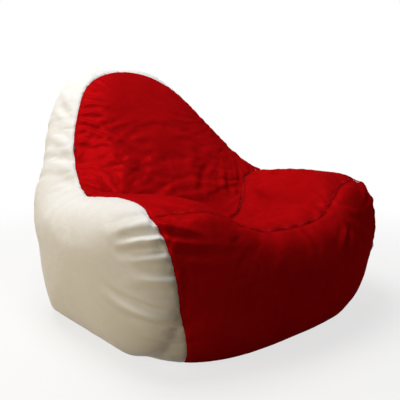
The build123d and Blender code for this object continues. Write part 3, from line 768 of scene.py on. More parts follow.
# Folds that lie singly: (way, height, half width, points). A fold starts strong at its first point
# and dies out at its last. Valleys have a height below 0.
FOLDS = (
    # across the left edge of the backrest
    (0.0034, 0.007, (-0.18, 0.35, 0.69), (-0.15, 0.33, 0.69), (-0.12, 0.31, 0.68)),
    (0.0036, 0.007, (-0.20, 0.33, 0.67), (-0.17, 0.31, 0.66), (-0.13, 0.285, 0.645)),
    (0.0040, 0.008, (-0.22, 0.31, 0.64), (-0.18, 0.29, 0.64), (-0.12, 0.26, 0.62)),
    (0.0044, 0.008, (-0.24, 0.29, 0.61), (-0.20, 0.27, 0.61), (-0.15, 0.235, 0.595)),
    (0.0044, 0.009, (-0.25, 0.27, 0.59), (-0.22, 0.24, 0.58), (-0.17, 0.19, 0.55)),
    (0.0040, 0.009, (-0.27, 0.25, 0.56), (-0.24, 0.23, 0.56), (-0.20, 0.18, 0.535)),
    (0.0032, 0.010, (-0.29, 0.23, 0.53), (-0.27, 0.20, 0.53), (-0.23, 0.175, 0.515)),
    # long folds down the backrest towards the crease
    (0.0050, 0.014, (-0.20, 0.21, 0.55), (-0.17, 0.17, 0.53), (-0.11, 0.13, 0.50), (-0.07, 0.06, 0.43)),
    (0.0062, 0.015, (-0.22, 0.20, 0.54), (-0.19, 0.14, 0.50), (-0.15, 0.08, 0.44), (-0.09, 0.01, 0.38)),
    (0.0050, 0.014, (-0.22, 0.15, 0.49), (-0.20, 0.09, 0.44), (-0.15, 0.01, 0.37)),
    (0.0044, 0.013, (-0.04, -0.02, 0.35), (-0.10, 0.04, 0.41), (-0.13, 0.10, 0.47), (-0.17, 0.15, 0.51)),
    # the right half of the backrest, above the crease
    (0.0036, 0.020, (0.01, 0.00, 0.37), (0.06, 0.07, 0.44), (0.11, 0.13, 0.50), (0.19, 0.20, 0.55)),
    (-0.0045, 0.012, (0.03, -0.01, 0.37), (0.10, 0.05, 0.42), (0.17, 0.09, 0.45)),
    (0.0055, 0.013, (0.13, -0.02, 0.35), (0.17, 0.03, 0.40), (0.23, 0.09, 0.44)),
    (0.0050, 0.011, (0.17, -0.03, 0.35), (0.21, 0.04, 0.40), (0.26, 0.11, 0.45)),
    (0.0046, 0.010, (0.20, -0.02, 0.36), (0.24, 0.05, 0.40), (0.29, 0.11, 0.45)),
    (-0.0040, 0.009, (0.19, -0.03, 0.35), (0.24, 0.03, 0.39), (0.27, 0.08, 0.43)),
    # the crest of the left arm, from the corner of the white cloth
    (-0.0070, 0.009, (-0.365, 0.10, 0.42), (-0.34, 0.06, 0.41), (-0.31, 0.03, 0.40), (-0.25, 0.01, 0.385)),
    (0.0050, 0.012, (-0.375, 0.075, 0.41), (-0.35, 0.035, 0.41), (-0.31, -0.02, 0.41), (-0.27, -0.08, 0.40)),
    # below the front seam, on both sides
    (0.0060, 0.012, (-0.41, -0.375, 0.39), (-0.36, -0.41, 0.37), (-0.30, -0.445, 0.345)),
    (-0.0050, 0.009, (-0.41, -0.39, 0.375), (-0.37, -0.415, 0.36), (-0.31, -0.445, 0.34)),
    (0.0058, 0.011, (-0.41, -0.405, 0.35), (-0.36, -0.425, 0.345), (-0.28, -0.46, 0.33)),
    (0.0036, 0.011, (-0.40, -0.42, 0.31), (-0.36, -0.44, 0.30), (-0.30, -0.465, 0.28)),
    (0.0055, 0.012, (0.41, -0.375, 0.39), (0.36, -0.41, 0.365), (0.30, -0.45, 0.34)),
    (0.0050, 0.011, (0.41, -0.40, 0.35), (0.36, -0.43, 0.335), (0.29, -0.46, 0.32)),
    # across the front seam at the right arm
    (0.0044, 0.011, (0.17, -0.49, 0.30), (0.13, -0.505, 0.27), (0.10, -0.515, 0.24)),
    (-0.0040, 0.010, (0.19, -0.485, 0.30), (0.16, -0.505, 0.26), (0.14, -0.515, 0.22)),
    (0.0036, 0.012, (0.22, -0.42, 0.36), (0.20, -0.36, 0.37), (0.22, -0.30, 0.38)),
    (-0.0034, 0.010, (0.15, -0.43, 0.34), (0.17, -0.38, 0.355), (0.21, -0.33, 0.375)),
    # a fan on the left side, from the seam at the front
    (0.0080, 0.016, (-0.42, -0.36, 0.395), (-0.46, -0.31, 0.38), (-0.485, -0.24, 0.345)),
    (-0.0060, 0.010, (-0.425, -0.385, 0.372), (-0.46, -0.34, 0.365), (-0.482, -0.28, 0.342)),
    (0.0080, 0.010, (-0.42, -0.40, 0.36), (-0.46, -0.35, 0.355), (-0.483, -0.27, 0.33)),
    (-0.0070, 0.011, (-0.42, -0.41, 0.34), (-0.46, -0.36, 0.33), (-0.484, -0.28, 0.31)),
    (0.0042, 0.010, (-0.42, -0.42, 0.318), (-0.45, -0.385, 0.315), (-0.47, -0.33, 0.30)),
    (-0.0058, 0.008, (-0.41, -0.43, 0.28), (-0.44, -0.40, 0.28), (-0.465, -0.36, 0.28)),
    (0.0042, 0.012, (-0.41, -0.43, 0.255), (-0.45, -0.39, 0.26), (-0.48, -0.33, 0.255)),
    (-0.0058, 0.009, (-0.39, -0.43, 0.18), (-0.45, -0.38, 0.19), (-0.485, -0.30, 0.205),
     (-0.49, -0.24, 0.225)),
    (0.0060, 0.013, (-0.39, -0.43, 0.155), (-0.45, -0.38, 0.17), (-0.488, -0.28, 0.185),
     (-0.49, -0.22, 0.21)),
    (-0.0044, 0.010, (-0.38, -0.42, 0.12), (-0.45, -0.375, 0.145), (-0.485, -0.29, 0.165)),
    (0.0044, 0.012, (-0.37, -0.41, 0.10), (-0.44, -0.365, 0.115), (-0.475, -0.28, 0.14)),
    (-0.0040, 0.010, (-0.37, -0.41, 0.075), (-0.44, -0.355, 0.085), (-0.465, -0.29, 0.095)),
    # and its like on the right side
    (0.0075, 0.015, (0.42, -0.36, 0.39), (0.46, -0.30, 0.37), (0.485, -0.23, 0.34)),
    (-0.0065, 0.011, (0.42, -0.40, 0.35), (0.46, -0.35, 0.34), (0.484, -0.27, 0.32)),
    (0.0060, 0.012, (0.42, -0.42, 0.31), (0.46, -0.37, 0.30), (0.482, -0.30, 0.28)),
    (-0.0050, 0.010, (0.41, -0.43, 0.24), (0.45, -0.39, 0.24), (0.48, -0.33, 0.24)),
    (0.0055, 0.013, (0.40, -0.43, 0.19), (0.45, -0.38, 0.20), (0.488, -0.28, 0.215)),
    (-0.0045, 0.010, (0.38, -0.42, 0.13), (0.45, -0.375, 0.15), (0.485, -0.29, 0.17)),
    # the left shoulder, between the backrest and the arm
    (-0.0035, 0.014, (-0.37, 0.11, 0.42), (-0.38, 0.18, 0.40), (-0.41, 0.22, 0.37), (-0.45, 0.23, 0.31)),
    (0.0060, 0.018, (-0.345, 0.14, 0.45), (-0.36, 0.22, 0.445), (-0.37, 0.29, 0.42), (-0.37, 0.34, 0.36)),
    (-0.0050, 0.014, (-0.335, 0.20, 0.48), (-0.35, 0.26, 0.48), (-0.355, 0.33, 0.46)),
    (0.0050, 0.015, (-0.32, 0.24, 0.515), (-0.325, 0.29, 0.53), (-0.32, 0.35, 0.53)),
    (-0.0044, 0.013, (-0.27, 0.32, 0.61), (-0.27, 0.36, 0.63), (-0.25, 0.40, 0.62)),
    (0.0042, 0.014, (-0.24, 0.35, 0.64), (-0.24, 0.385, 0.67), (-0.22, 0.43, 0.66)),
    # and the right one
    (-0.0040, 0.014, (0.37, 0.11, 0.42), (0.385, 0.18, 0.40), (0.415, 0.22, 0.36), (0.45, 0.22, 0.30)),
    (0.0060, 0.018, (0.345, 0.14, 0.45), (0.36, 0.22, 0.44), (0.37, 0.29, 0.41), (0.37, 0.34, 0.35)),
    (-0.0050, 0.014, (0.33, 0.21, 0.49), (0.345, 0.27, 0.49), (0.35, 0.34, 0.47)),
    (0.0048, 0.014, (0.29, 0.29, 0.57), (0.295, 0.33, 0.59), (0.28, 0.38, 0.59)),
    # the back, below the knee, where the filling has settled
    (0.0060, 0.020, (-0.33, 0.34, 0.16), (-0.22, 0.385, 0.19), (-0.10, 0.40, 0.185)),
    (0.0055, 0.018, (0.33, 0.34, 0.20), (0.23, 0.38, 0.16), (0.11, 0.40, 0.13)),
    (-0.0050, 0.014, (-0.34, 0.33, 0.24), (-0.25, 0.375, 0.26), (-0.13, 0.40, 0.27)),
    (-0.0050, 0.015, (0.34, 0.33, 0.28), (0.24, 0.375, 0.30), (0.12, 0.41, 0.33)),
    (0.0050, 0.018, (-0.30, 0.40, 0.42), (-0.20, 0.42, 0.40), (-0.08, 0.42, 0.42)),
    (0.0050, 0.018, (0.29, 0.40, 0.44), (0.18, 0.43, 0.45), (0.08, 0.43, 0.43)),
)
FOLD_STEP = 0.004
FOLD_DIES = 0.55                # share of its length over which a fold dies out
FOLD_START = 0.45               # share of its height at its first point
FOLD_GROWS = 0.15
FOLD_VALLEY = 0.3               # beside the fold: its depth, place and half width in the fold's own measures
VALLEY_AT = 1.9
VALLEY_HALF = 0.8
SEAM_ROUNDS = 14


def curve_through(points, step):
    """Closely spaced points on a smooth curve through the given ones."""
    points = np.array(points)
    ends = np.vstack([2 * points[0] - points[1], points, 2 * points[-1] - points[-2]])
    line = []
    for a, b, c, d in zip(ends, ends[1:], ends[2:], ends[3:]):
        count = max(int(np.linalg.norm(c - b) / step), 2)
        t = np.arange(count)[:, None] / count
        line.append(0.5 * (2 * b + (c - a) * t + (2 * a - 5 * b + 4 * c - d) * t ** 2
                           + (3 * b - a - 3 * c + d) * t ** 3))
    return np.vstack(line + [points[-1:]])


def fold_relief(co):
    """How far the single folds move each corner outwards."""
    height = np.zeros(len(co))
    for rise, half, *points in FOLDS:
        line = curve_through(points, FOLD_STEP)
        reach = 4 * half
        near = np.all((co > line.min(0) - reach) & (co < line.max(0) + reach), axis=1)
        chosen = np.flatnonzero(near)
        apart = np.linalg.norm(co[chosen, None] - line[None], axis=2)
        nearest = apart.argmin(1)
        distance = apart[np.arange(len(chosen)), nearest] / half
        run = nearest / (len(line) - 1)
        fade = np.clip((1 - run) / FOLD_DIES, 0, 1) ** 0.8 * np.clip(FOLD_START + run / FOLD_GROWS, 0, 1)
        valley = np.exp(-((distance - VALLEY_AT) / VALLEY_HALF) ** 2)
        shape = np.exp(-distance ** 2) - FOLD_VALLEY * valley
        height[chosen] += rise * fade * shape
    return height


CRUMPLE = 0.0024                # height of the fine creases
CRUMPLE_ALONG = Vector((0.55, -0.45, -0.70)).normalized()
CRUMPLE_SIZE = 15.0             # creases in a metre, across them
CRUMPLE_STRETCH = 0.35          # a crease is longer than it is wide by one over this
CRUMPLE_BEND = 0.8
CLUSTER_SIZE = 5.5
FINER = 2.3
RIDGE_WIDTH = 0.32
FINE_WIDTH = 0.35
CRUMPLED = {SEAT: 0.9, BACKREST: 1.0, FRONT: 0.35, SIDE_LEFT: 0.3, SIDE_RIGHT: 0.3}
SUNK = 0.004                    # depth of the broad hollows


def crumple(mesh):
    """Fine creases of handled nylon, in loose clusters, most on the seat and the backrest."""
    belongs = corner_panels(mesh).astype(float)
    share = sum(part * belongs[:, [number]] for number, part in CRUMPLED.items())
    share = neighbour_mean(mesh, share, 8)[:, 0]
    height = np.zeros(len(share))
    for number, v in enumerate(mesh.vertices):
        if share[number] < 0.05:
            continue
        along = v.co.dot(CRUMPLE_ALONG)
        point = (v.co - CRUMPLE_ALONG * along * (1 - CRUMPLE_STRETCH)) * CRUMPLE_SIZE
        bend = CRUMPLE_BEND * noise.noise(v.co * 7)
        ridge = noise.noise(point + Vector((bend, -bend, bend)))
        cluster = noise.noise(v.co * CLUSTER_SIZE + Vector((3.1, 0.7, 9.2)))
        fine = noise.noise(point * FINER + Vector((5.0, 2.0, 7.0)))
        crease = exp(-(ridge / RIDGE_WIDTH) ** 2) - 0.5 + 0.3 * exp(-(fine / FINE_WIDTH) ** 2)
        height[number] = share[number] * crease * min(max(0.35 + 1.6 * cluster, 0), 1)
    return CRUMPLE * height


def settle(co):
    """Broad shallow hollows where the filling has sunk."""
    waves = np.sin(co[:, 0] * 17 + 1.3) * np.sin(co[:, 1] * 15 + 0.4) * np.sin(co[:, 2] * 19 + 2.1)
    return SUNK * waves


def straighten_seams(bag):
    """The seams run smoothly over the surface, also round the corners of the red cloth."""
    mesh = bag.data
    before = coordinates(mesh)
    tree = search_tree(mesh)
    co = before.copy()
    runs = [seam.chain for found in find_seams(mesh).values() for seam in found]
    for chain in red_edge(mesh) + runs:
        for _ in range(SEAM_ROUNDS):
            line = co[chain]
            line[1:-1] = 0.5 * line[1:-1] + 0.25 * (line[:-2] + line[2:])
            if chain[0] == chain[-1]:
                line[0] = line[-1] = 0.5 * line[0] + 0.25 * (line[1] + line[-2])
            co[chain] = [tree.find_nearest(point)[0] for point in line]
    on_seam = np.unique(np.concatenate([np.array(run) for run in runs]))
    pulled = co[on_seam] - before[on_seam]
    shift = np.zeros_like(co)
    for _ in range(SEAM_ROUNDS):
        shift[on_seam] = pulled
        shift = neighbour_mean(mesh, shift, 1)
    shift[on_seam] = pulled
    set_coordinates(mesh, before + shift)


def red_edge(mesh):
    """The line where red and white cloth meet, as runs of corners."""
    low, high = edge_labels(mesh)
    meets = (low < SIDE_LEFT) & (high >= SIDE_LEFT) & (high < BASE)
    return [run for run in chains(edge_ends(mesh)[meets].tolist()) if len(run) > SHORTEST_SEAM]


def dress(bag):
    """Seams, gathers and folds are worked into the skin, which stays on the floor."""
    mesh = bag.data
    seams = find_seams(mesh)
    co = coordinates(mesh)
    height = (fold_relief(co) + settle(co) + crumple(mesh)) * calm(co)
    height += seam_relief(mesh, seams) * np.maximum(calm(co), 0.25)
    moved = co + normals(mesh) * height[:, None]
    moved[:, 2] = np.maximum(moved[:, 2], 0.0002)
    set_coordinates(mesh, moved)
    return find_seams(mesh)


# ---------------------------------------------------------------- finishes
def weave_group():
    """Threads that cross: Height over the cloth, and Gap between the threads."""
    group, given, result = new_group("weave", {"Threads": 2500.0}, ("Height", "Gap"))
    apart = node(group, "SeparateXYZ")
    on_object(group, apart)
    waves = []
    for axis in "XYZ":
        turned = math(group, "MULTIPLY", apart.outputs[axis], given.outputs["Threads"])
        waves.append(math(group, "SINE", turned, 0.0))
    crossed = math(group, "MULTIPLY", waves[0], waves[2])
    crossed = math(group, "ADD", crossed, math(group, "MULTIPLY", waves[1], waves[2]))
    crossed = math(group, "ADD", crossed, math(group, "MULTIPLY", waves[0], waves[1]))
    group.links.new(crossed, result.inputs["Height"])
    group.links.new(math(group, "LESS_THAN", crossed, -0.5), result.inputs["Gap"])
    return group


def crinkle_group():
    """Soft creases of handled cloth at two sizes."""
    group, given, result = new_group("crinkle", {"Fine": 60.0, "Broad": 17.0}, ("Height", "Tone"))
    fine = node(group, "TexNoise", Detail=3.0, Roughness=0.55, Distortion=1.2)
    broad = node(group, "TexNoise", Detail=2.0, Roughness=0.5, Distortion=0.6)
    on_object(group, fine, broad)
    for texture, word in ((fine, "Fine"), (broad, "Broad")):
        group.links.new(given.outputs[word], texture.inputs["Scale"])
    creased = math(group, "ABSOLUTE", math(group, "SUBTRACT", broad.outputs["Fac"], 0.5), 0.0)
    height = math(group, "ADD", math(group, "MULTIPLY", creased, 2.0),
                  math(group, "MULTIPLY", fine.outputs["Fac"], 0.35))
    group.links.new(height, result.inputs["Height"])
    group.links.new(broad.outputs["Fac"], result.inputs["Tone"])
    return group


def dust_group():
    """A mask for the dust that a cloth picks up near the floor."""
    group, given, result = new_group("dust", {"Reach": 0.05}, ("Mask",))
    apart = node(group, "SeparateXYZ")
    on_object(group, apart)
    low = math(group, "SUBTRACT", 1.0, math(group, "DIVIDE", apart.outputs["Z"], given.outputs["Reach"]))
    low = math(group, "MAXIMUM", low, 0.0)
    patches = node(group, "TexNoise", Scale=24.0, Detail=4.0, Roughness=0.6)
    on_object(group, patches)
    group.links.new(math(group, "MULTIPLY", low, patches.outputs["Fac"]), result.inputs["Mask"])
    return group


GAP_SHADE = 0.06                # how much darker the cloth is between its threads
DUST_SHARE = 0.5
WEAVE_HEIGHT = 0.003
CLOTH_BUMP = 0.004


def cloth_finish(name, colour, worn, dusty, roughness, threads, crease, gloss, satin=0.0,
                 tint=(1.0, 1.0, 1.0)):
    """Woven cloth: its threads, soft creases, a tone that varies, and dust at the floor."""
    material, tree, shader = new_finish(name, roughness, Specular_IOR_Level=gloss, Metallic=satin,
                                        Specular_Tint=(*tint, 1.0))
    weave = use_group(tree, groups["weave"], Threads=threads)
    crinkle = use_group(tree, groups["crinkle"])
    dust = use_group(tree, groups["dust"])
    toned = mix_colour(tree, crinkle.outputs["Tone"], colour, worn)
    gaps = math(tree, "MULTIPLY", weave.outputs["Gap"], GAP_SHADE)
    woven = mix_colour(tree, gaps, toned, tuple(0.5 * part for part in colour))
    dusted = mix_colour(tree, math(tree, "MULTIPLY", dust.outputs["Mask"], DUST_SHARE), woven, dusty)
    tree.links.new(dusted, shader.inputs["Base Color"])
    rough = math(tree, "ADD", math(tree, "MULTIPLY", crinkle.outputs["Tone"], 0.12), roughness - 0.06)
    tree.links.new(rough, shader.inputs["Roughness"])
    height = math(tree, "ADD", math(tree, "MULTIPLY", crinkle.outputs["Height"], crease),
                  math(tree, "MULTIPLY", weave.outputs["Height"], WEAVE_HEIGHT))
    bump(tree, shader, height, CLOTH_BUMP)
    return material


def webbing_finish(name, colour, shade, ribs):
    """Webbing and tape: ribs across the weave, with painted shade in the grooves between them, and a cloth's
    dull gloss.
    """
    material, tree, shader = new_finish(name, 0.75, Sheen_Weight=0.25, Specular_IOR_Level=0.3)
    wave = node(tree, "TexWave", {"bands_direction": "Z"}, Scale=ribs, Distortion=0.4, Detail=1.0)
    grain = node(tree, "TexNoise", Scale=900.0, Detail=2.0)
    on_object(tree, wave, grain)
    # the shade colour fills the low parts of the ribs, where the bump is lowest: painted shade in the
    # grooves
    tree.links.new(mix_colour(tree, wave.outputs["Fac"], shade, colour), shader.inputs["Base Color"])
    height = math(tree, "ADD", wave.outputs["Fac"], math(tree, "MULTIPLY", grain.outputs["Fac"], 0.4))
    bump(tree, shader, height, 0.0003)
    return material


def metal_finish():
    """Satin zinc with fine scratches, rubbed brighter in places."""
    material, tree, shader = new_finish("zip_metal_finish", 0.35, Metallic=1.0)
    stretch = node(tree, "Mapping", Scale=(400.0, 400.0, 60.0))
    scratch = node(tree, "TexNoise", Scale=3.0, Detail=4.0)
    rubbed = node(tree, "TexNoise", Scale=120.0, Detail=2.0)
    on_object(tree, stretch, rubbed)
    tree.links.new(stretch.outputs["Vector"], scratch.inputs["Vector"])
    colour = mix_colour(tree, rubbed.outputs["Fac"], (0.42, 0.42, 0.43), (0.72, 0.72, 0.71))
    tree.links.new(colour, shader.inputs["Base Color"])
    rough = math(tree, "ADD", math(tree, "MULTIPLY", scratch.outputs["Fac"], 0.3), 0.18)
    tree.links.new(rough, shader.inputs["Roughness"])
    bump(tree, shader, scratch.outputs["Fac"], 0.00005)
    return material


def nylon_finish():
    """Moulded nylon teeth, slightly milky."""
    material, tree, shader = new_finish("zip_nylon_finish", 0.4, Specular_IOR_Level=0.45)
    cloud = node(tree, "TexNoise", Scale=160.0, Detail=3.0)
    on_object(tree, cloud)
    colour = mix_colour(tree, cloud.outputs["Fac"], (0.66, 0.64, 0.60), (0.82, 0.81, 0.78))
    tree.links.new(colour, shader.inputs["Base Color"])
    bump(tree, shader, cloud.outputs["Fac"], 0.0001)
    return material


def bead_finish():
    """Small white foam beads, packed, with painted shade in the gaps between them."""
    material, tree, shader = new_finish("bead_finish", 0.7, Specular_IOR_Level=0.3)
    cells = node(tree, "TexVoronoi", Scale=260.0)
    on_object(tree, cells)
    # the colour darkens away from each bead's middle: painted shade in the gaps between the beads
    tree.links.new(mix_colour(tree, cells.outputs["Distance"], (0.93, 0.93, 0.92), (0.70, 0.70, 0.69)),
                   shader.inputs["Base Color"])
    bump(tree, shader, math(tree, "SUBTRACT", 1.0, cells.outputs["Distance"]), 0.002)
    return material


def thread_finish(name, colour):
    """Twisted sewing thread, with painted shade in the grooves of its twist."""
    material, tree, shader = new_finish(name, 0.55, Sheen_Weight=0.2, Specular_IOR_Level=0.35)
    twist = node(tree, "TexWave", {"bands_direction": "DIAGONAL"}, Scale=500.0, Distortion=0.5)
    on_object(tree, twist)
    # the dark colour lies in the low parts of the twist, where the bump is lowest: painted shade in its
    # grooves
    dark = tuple(0.6 * part for part in colour)
    tree.links.new(mix_colour(tree, twist.outputs["Fac"], dark, colour), shader.inputs["Base Color"])
    bump(tree, shader, twist.outputs["Fac"], 0.0001)
    return material


groups = {"weave": weave_group(), "crinkle": crinkle_group(), "dust": dust_group()}
finishes = {
    "red_cloth": cloth_finish("red_nylon", (0.46, 0.004, 0.006), (0.35, 0.002, 0.003), (0.36, 0.03, 0.025),
                              roughness=0.36, threads=7000.0, crease=0.30, gloss=0.0, satin=0.09,
                              tint=(1.0, 0.10, 0.08)),
    "white_cloth": cloth_finish("white_nylon", (0.90, 0.895, 0.88), (0.86, 0.85, 0.825), (0.60, 0.55, 0.45),
                                roughness=0.46, threads=7000.0, crease=0.26, gloss=0.25),
    "base_cloth": cloth_finish("base_polyester", (0.028, 0.028, 0.030), (0.020, 0.020, 0.022),
                               (0.10, 0.09, 0.08), roughness=0.70, threads=3100.0, crease=0.15, gloss=0.3),
    "liner_cloth": cloth_finish("liner_fabric", (0.78, 0.78, 0.76), (0.72, 0.72, 0.70), (0.70, 0.69, 0.66),
                                roughness=0.85, threads=2600.0, crease=0.50, gloss=0.2),
    "beads": bead_finish(),
    "zip_tape": webbing_finish("zip_tape_finish", (0.78, 0.77, 0.73), (0.55, 0.54, 0.50), 320.0),
    "zip_teeth": nylon_finish(),
    "zip_metal": metal_finish(),
    "webbing": webbing_finish("webbing_finish", (0.80, 0.79, 0.75), (0.58, 0.57, 0.53), 200.0),
    "tab_cloth": webbing_finish("tab_finish", (0.20, 0.175, 0.15), (0.11, 0.095, 0.08), 420.0),
    "red_thread": thread_finish("red_thread", (0.50, 0.02, 0.02)),
    # a darker copy of the red thread, for the stitches in the crease: painted shade of the crease
    "shaded_red_thread": thread_finish("shaded_red_thread", (0.10, 0.003, 0.005)),
    "white_thread": thread_finish("white_thread", (0.82, 0.80, 0.75)),
}


# ---------------------------------------------------------------- the cover's panels as pieces
def panel_piece(skin, number):
    """One panel of the skin as its own closed piece of cloth."""
    name, node_name, slot_name = PANELS[number]
    bm = bmesh.new()
    bm.from_mesh(skin.data)
    layer = bm.faces.layers.int["panel"]
    bmesh.ops.delete(bm, geom=[f for f in bm.faces if f[layer] != number], context="FACES")
    if number in BACKS:
        open_slot(bm)
    mesh = bpy.data.meshes.new(name)
    bm.to_mesh(mesh)
    bm.free()
    piece = new_piece(name, mesh)
    thick = piece.modifiers.new("thickness", "SOLIDIFY")
    thick.thickness = CLOTH
    thick.offset = -1
    apply_modifiers(piece)
    piece.data.shade_smooth()
    finish_soft(piece, "bag", slot_name, node_name)
    return piece


def open_slot(bm):
    """Cuts the opening over the zip into a back panel."""
    low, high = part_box("cover_zip_stops")
    bottom, top = low.z - SLOT_MARGIN, high.z + SLOT_MARGIN
    cuts = (((-SLOT_HALF, 0, 0), (1, 0, 0)), ((SLOT_HALF, 0, 0), (1, 0, 0)),
            ((0, 0, bottom), (0, 0, 1)), ((0, 0, top), (0, 0, 1)))
    for point, normal in cuts:
        faces = [f for f in bm.faces
                 if abs(f.calc_center_median().x) < NEAR_SLOT and f.calc_center_median().y > 0
                 and bottom - NEAR_SLOT < f.calc_center_median().z < top + NEAR_SLOT]
        parts = set(faces) | {e for f in faces for e in f.edges} | {v for f in faces for v in f.verts}
        bmesh.ops.bisect_plane(bm, geom=list(parts), plane_co=point, plane_no=normal, dist=1e-5)
    inside = [f for f in bm.faces
              if abs(f.calc_center_median().x) < SLOT_HALF and f.calc_center_median().y > 0
              and bottom < f.calc_center_median().z < top]
    bmesh.ops.delete(bm, geom=inside, context="FACES")


# ---------------------------------------------------------------- what the cover holds
LINER_INSIDE = 0.018            # the liner lies loosely, this far inside the cover
SEWN_IN = (0.01, 0.08)          # but not at its zip: distances between which it comes away
BEADS_INSIDE = 0.027
BEAD_FACE = 0.014               # of the mesh of the filling
LUMP = 0.0015


def sunk(co, skin, depth, share=1.0):
    """The corners moved inwards until they lie this deep under the skin."""
    tree = search_tree(skin.data)
    found = [tree.find_nearest(point)[:2] for point in co]
    places = np.array([place for place, _ in found])
    directions = np.array([direction for _, direction in found])
    outside = ((co - places) * directions).sum(1)
    return co - directions * (share * np.maximum(outside + depth, 0))[:, None]


def make_liner(skin):
    """The liner's bag, slack inside the cover. Its own zip stays where it is sewn in."""
    piece = new_piece("liner_bag", nodes["inner_liner"].data.copy())
    merge_corners(piece)
    co = coordinates(piece.data)
    set_coordinates(piece.data, sunk(co, skin, LINER_INSIDE, smooth_step(from_zip(co), *SEWN_IN)))
    piece.data.shade_smooth()
    finish_soft(piece, "bag", "liner_cloth", "inner_liner")


def make_beads(skin):
    """The filling, slightly lumpy, inside the liner."""
    piece = new_piece("bead_body", nodes["bead_filling"].data.copy())
    even = piece.modifiers.new("even", "REMESH")
    even.mode = "VOXEL"
    even.voxel_size = BEAD_FACE
    apply_modifiers(piece)
    mesh = piece.data
    co = coordinates(mesh)
    lumps = LUMP * np.sin(co[:, 0] * 90) * np.sin(co[:, 1] * 80 + 1) * np.sin(co[:, 2] * 85 + 2)
    set_coordinates(mesh, sunk(co, skin, BEADS_INSIDE + lumps))
    mesh.shade_smooth()
    finish_soft(piece, "bag", "beads", "bead_filling")


# ---------------------------------------------------------------- stitches
STITCH = 0.0042                 # length
STITCH_PITCH = 0.0058
THREAD = 0.0009
ABOVE_CLOTH = 0.25              # share of the thread's thickness
SEAT_STITCHES_FROM_SEAM = 0.009
CREASE_STITCHES_FROM_SEAM = 0.003
ZIP_STITCHES_FROM_SLOT = (0.0030, 0.0095)


def stitch_mesh(name, places, length, thickness):
    """One mesh of stitches. Each place is its middle, the way along it and the way out of the cloth."""
    deselect()
    bpy.ops.mesh.primitive_uv_sphere_add(segments=6, ring_count=4, radius=0.5)
    pattern = bpy.context.object
    corners = coordinates(pattern.data) * [thickness, thickness, length]
    faces = [tuple(p.vertices) for p in pattern.data.polygons]
    bpy.data.objects.remove(pattern)
    all_corners, all_faces = [], []
    for middle, along, out in places:
        aside = np.cross(along, out)
        aside /= np.linalg.norm(aside)
        out = np.cross(aside, along)
        start = len(all_corners)
        all_corners.extend(middle + corners @ np.array([aside, out, along]))
        all_faces.extend(tuple(start + c for c in face) for face in faces)
    mesh = bpy.data.meshes.new(name)
    mesh.from_pydata([tuple(c) for c in all_corners], [], all_faces)
    return mesh


def stitches_along(name, seam, piece, from_seam, pitch, length, finish, thickness=THREAD):
    """A row of stitches on a panel, beside a seam."""
    tree = search_tree(piece.data)
    points = neighbour_line(seam.points, 6)
    run = np.concatenate([[0], np.cumsum(np.linalg.norm(np.diff(points, axis=0), axis=1))])
    centre = coordinates(piece.data).mean(0)
    places = []
    for at in np.arange(pitch, run[-1] - pitch, pitch):
        point = np.array([np.interp(at, run, points[:, axis]) for axis in range(3)])
        ahead = np.array([np.interp(at + 0.004, run, points[:, axis]) for axis in range(3)]) - point
        along = ahead / np.linalg.norm(ahead)
        spot, out, _, _ = tree.find_nearest(Vector(point))
        aside = np.cross(along, out)
        aside *= np.sign(aside @ (centre - point)) / np.linalg.norm(aside)
        spot, out, _, _ = tree.find_nearest(Vector(point + aside * from_seam + np.array(out) * 0.002))
        places.append((np.array(spot) + np.array(out) * thickness * ABOVE_CLOTH, along, np.array(out)))
    sew(name, places, length, finish, thickness)


def neighbour_line(points, rounds):
    """The points of a line, smoothed along it."""
    points = points.copy()
    for _ in range(rounds):
        points[1:-1] = 0.5 * points[1:-1] + 0.25 * (points[:-2] + points[2:])
    return points


def sew(name, places, length, finish, thickness=THREAD):
    """The stitches as one piece, which moves with the bag."""
    piece = new_piece(name, stitch_mesh(name, places, length, thickness))
    piece.data.materials.append(finishes[finish])
    piece.data.shade_smooth()
    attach(piece, "bag")


def zip_stitches(pieces):
    """Two rows of stitches on each side of the zip, on the back panels."""
    low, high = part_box("cover_zip_stops")
    for number, word, side in ((BACK_LEFT, "left", -1), (BACK_RIGHT, "right", 1)):
        tree = search_tree(pieces[number].data)
        places = []
        for aside in ZIP_STITCHES_FROM_SLOT:
            for z in np.arange(low.z, high.z, STITCH_PITCH):
                start = Vector((side * (SLOT_HALF + aside), 0.6, z))
                spot, out, _, _ = tree.ray_cast(start, Vector((0, -1, 0)))
                if spot is not None:
                    middle = np.array(spot) + [0, THREAD * ABOVE_CLOTH, 0]
                    places.append((middle, np.array([0, 0, 1.0]), np.array(out)))
        sew("zip_stitches_" + word, places, STITCH, "white_thread")


# ---------------------------------------------------------------- carry loop and seam tab
WEBBING = 0.0016                # thickness
LOOP_ROOT_RADIUS = 0.0022
LOOP_LENGTH = 0.1
LOOP_DISH = 0.0012              # how far the webbing's middle stands out, at its end
LOOP_EDGE_ROOM = 0.0004
LOOP_STEP = 0.003
LOOP_ARC_POINTS = 15
LOOP_ACROSS = 13
TAB_WAVE = 0.0022               # how far the tab's end curls
TAB_WAVES = 190
TAB_HALF = 0.010


